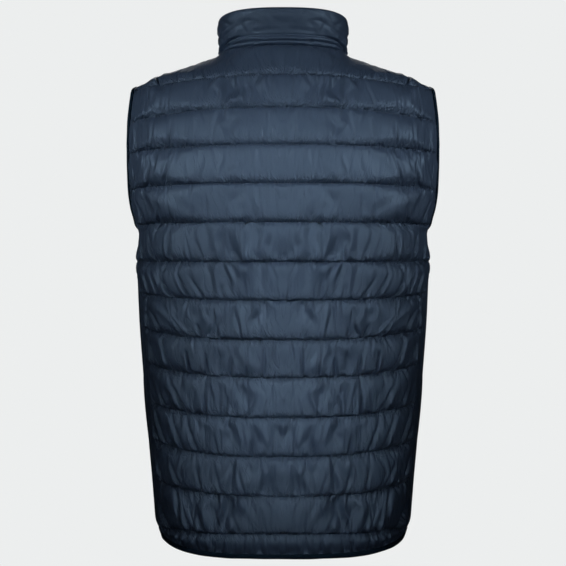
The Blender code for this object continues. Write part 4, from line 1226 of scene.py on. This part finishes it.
stitchObject("back_stitches", quiltStitches(backPanel, backOuter, np.ones(3), sewing), sewing)
stitchObject("front_left_stitches", quiltStitches(frontPanel, frontOuter, np.ones(3), sewing), sewing)
stitchObject("front_right_stitches", quiltStitches(frontPanel, frontOuter, flip, sewing), sewing)
print("quilting sewn")


# Photograph's view, crossed spots over a weak front light, and a plain pale ground
studio = {
    "cameraDistance": 1.9, "cameraZ": -0.2525, "lens": 87.6, "sensor": 36.0, "shiftY": -0.076,
    "ground": (0.84, 0.855, 0.855), "groundZ": -0.80, "groundSize": 6.0, "groundSegments": (48, 24),
    "lights": [  # place, aim, width, height, watts, spread in degrees
        ((0.0, 2.20, 0.00), (0.0, 0.0, -0.25), 0.5, 0.5, 2.4, 180),
        ((0.0, 2.20, 0.00), (0.0, 0.1, -0.30), 0.2, 0.2, 0.064, 11),
        ((0.0, 2.20, -0.20), (0.0, 0.1, -0.50), 0.2, 0.2, 0.066, 11),
        ((0.0, -2.60, 0.50), (0.0, 0.0, -0.30), 1.4, 1.2, 20.0, 180),
    ],
    "pairedLights": [  # the same, each with its mirror image; aimed across, but for the last
        ((1.2, 1.50, 0.60), (-0.10, 0.09, -0.10), 0.2, 0.2, 0.074, 13),
        ((1.2, 1.50, 0.60), (-0.10, 0.09, -0.26), 0.2, 0.2, 0.034, 13),
        ((1.2, 1.50, 0.60), (-0.10, 0.09, -0.42), 0.2, 0.2, 0.011, 13),
        ((1.2, 1.50, 0.60), (-0.10, 0.09, -0.58), 0.2, 0.2, 0.073, 13),
        ((1.5, 1.30, 0.20), (0.18, 0.03, -0.09), 0.3, 0.3, 0.265, 18),
    ],
    "worldColour": (0.9, 0.95, 1.0), "worldStrength": 0.01,
}


def makeStudio(settings):
    camera = bpy.data.cameras.new("camera")
    camera.lens = settings["lens"]
    camera.sensor_width = settings["sensor"]
    camera.shift_y = settings["shiftY"]
    viewer = bpy.data.objects.new("camera", camera)
    viewer.location = (0.0, settings["cameraDistance"], settings["cameraZ"])
    viewer.rotation_euler = (math.pi / 2, 0.0, math.pi)
    bpy.context.collection.objects.link(viewer)
    bpy.context.scene.camera = viewer
    lights = list(settings["lights"])
    for place, aim, *rest in settings["pairedLights"]:
        lights.extend((tuple(place * turn), tuple(aim * turn), *rest) for _, turn in bothSides)
    for number, (place, aim, width, height, watts, spread) in enumerate(lights):
        light = bpy.data.lights.new("light_%d" % number, "AREA")
        light.shape = "RECTANGLE"
        light.size, light.size_y, light.energy = width, height, watts
        light.spread = math.radians(spread)
        lamp = bpy.data.objects.new(light.name, light)
        lamp.location = place
        lamp.rotation_euler = (Vector(aim) - Vector(place)).to_track_quat("-Z", "Y").to_euler()
        bpy.context.collection.objects.link(lamp)
    world = bpy.data.worlds.new("studio")
    world.use_nodes = True
    background = world.node_tree.nodes["Background"]
    background.inputs["Color"].default_value = (*settings["worldColour"], 1.0)
    background.inputs["Strength"].default_value = settings["worldStrength"]
    bpy.context.scene.world = world


def makeGround(settings):
    # one pale sweep round the vest, seen only directly
    bm = bmesh.new()
    columns, rings = settings["groundSegments"]
    bmesh.ops.create_uvsphere(bm, u_segments=columns, v_segments=rings, radius=settings["groundSize"])
    bmesh.ops.translate(bm, vec=(0.0, 0.0, settings["groundZ"]), verts=bm.verts[:])
    low = [vert for vert in bm.verts if vert.co.z < settings["groundZ"]]
    for vert in low:
        vert.co.z = settings["groundZ"]
    bmesh.ops.reverse_faces(bm, faces=bm.faces[:])
    finish, tree, shader = newFinish("pale_ground")
    tree.nodes.remove(shader)
    glow = addNode(tree, "ShaderNodeEmission", {"Color": (*settings["ground"], 1.0), "Strength": 1.0})
    tree.links.new(glow.outputs[0], tree.nodes["Material Output"].inputs["Surface"])
    ground = finishObject("ground", bm, None, [finish])
    ground.visible_diffuse = False
    ground.visible_glossy = False
    ground.visible_shadow = False


bpy.context.scene.view_settings.view_transform = "Standard"
makeStudio(studio)
makeGround(studio)
print("studio set")
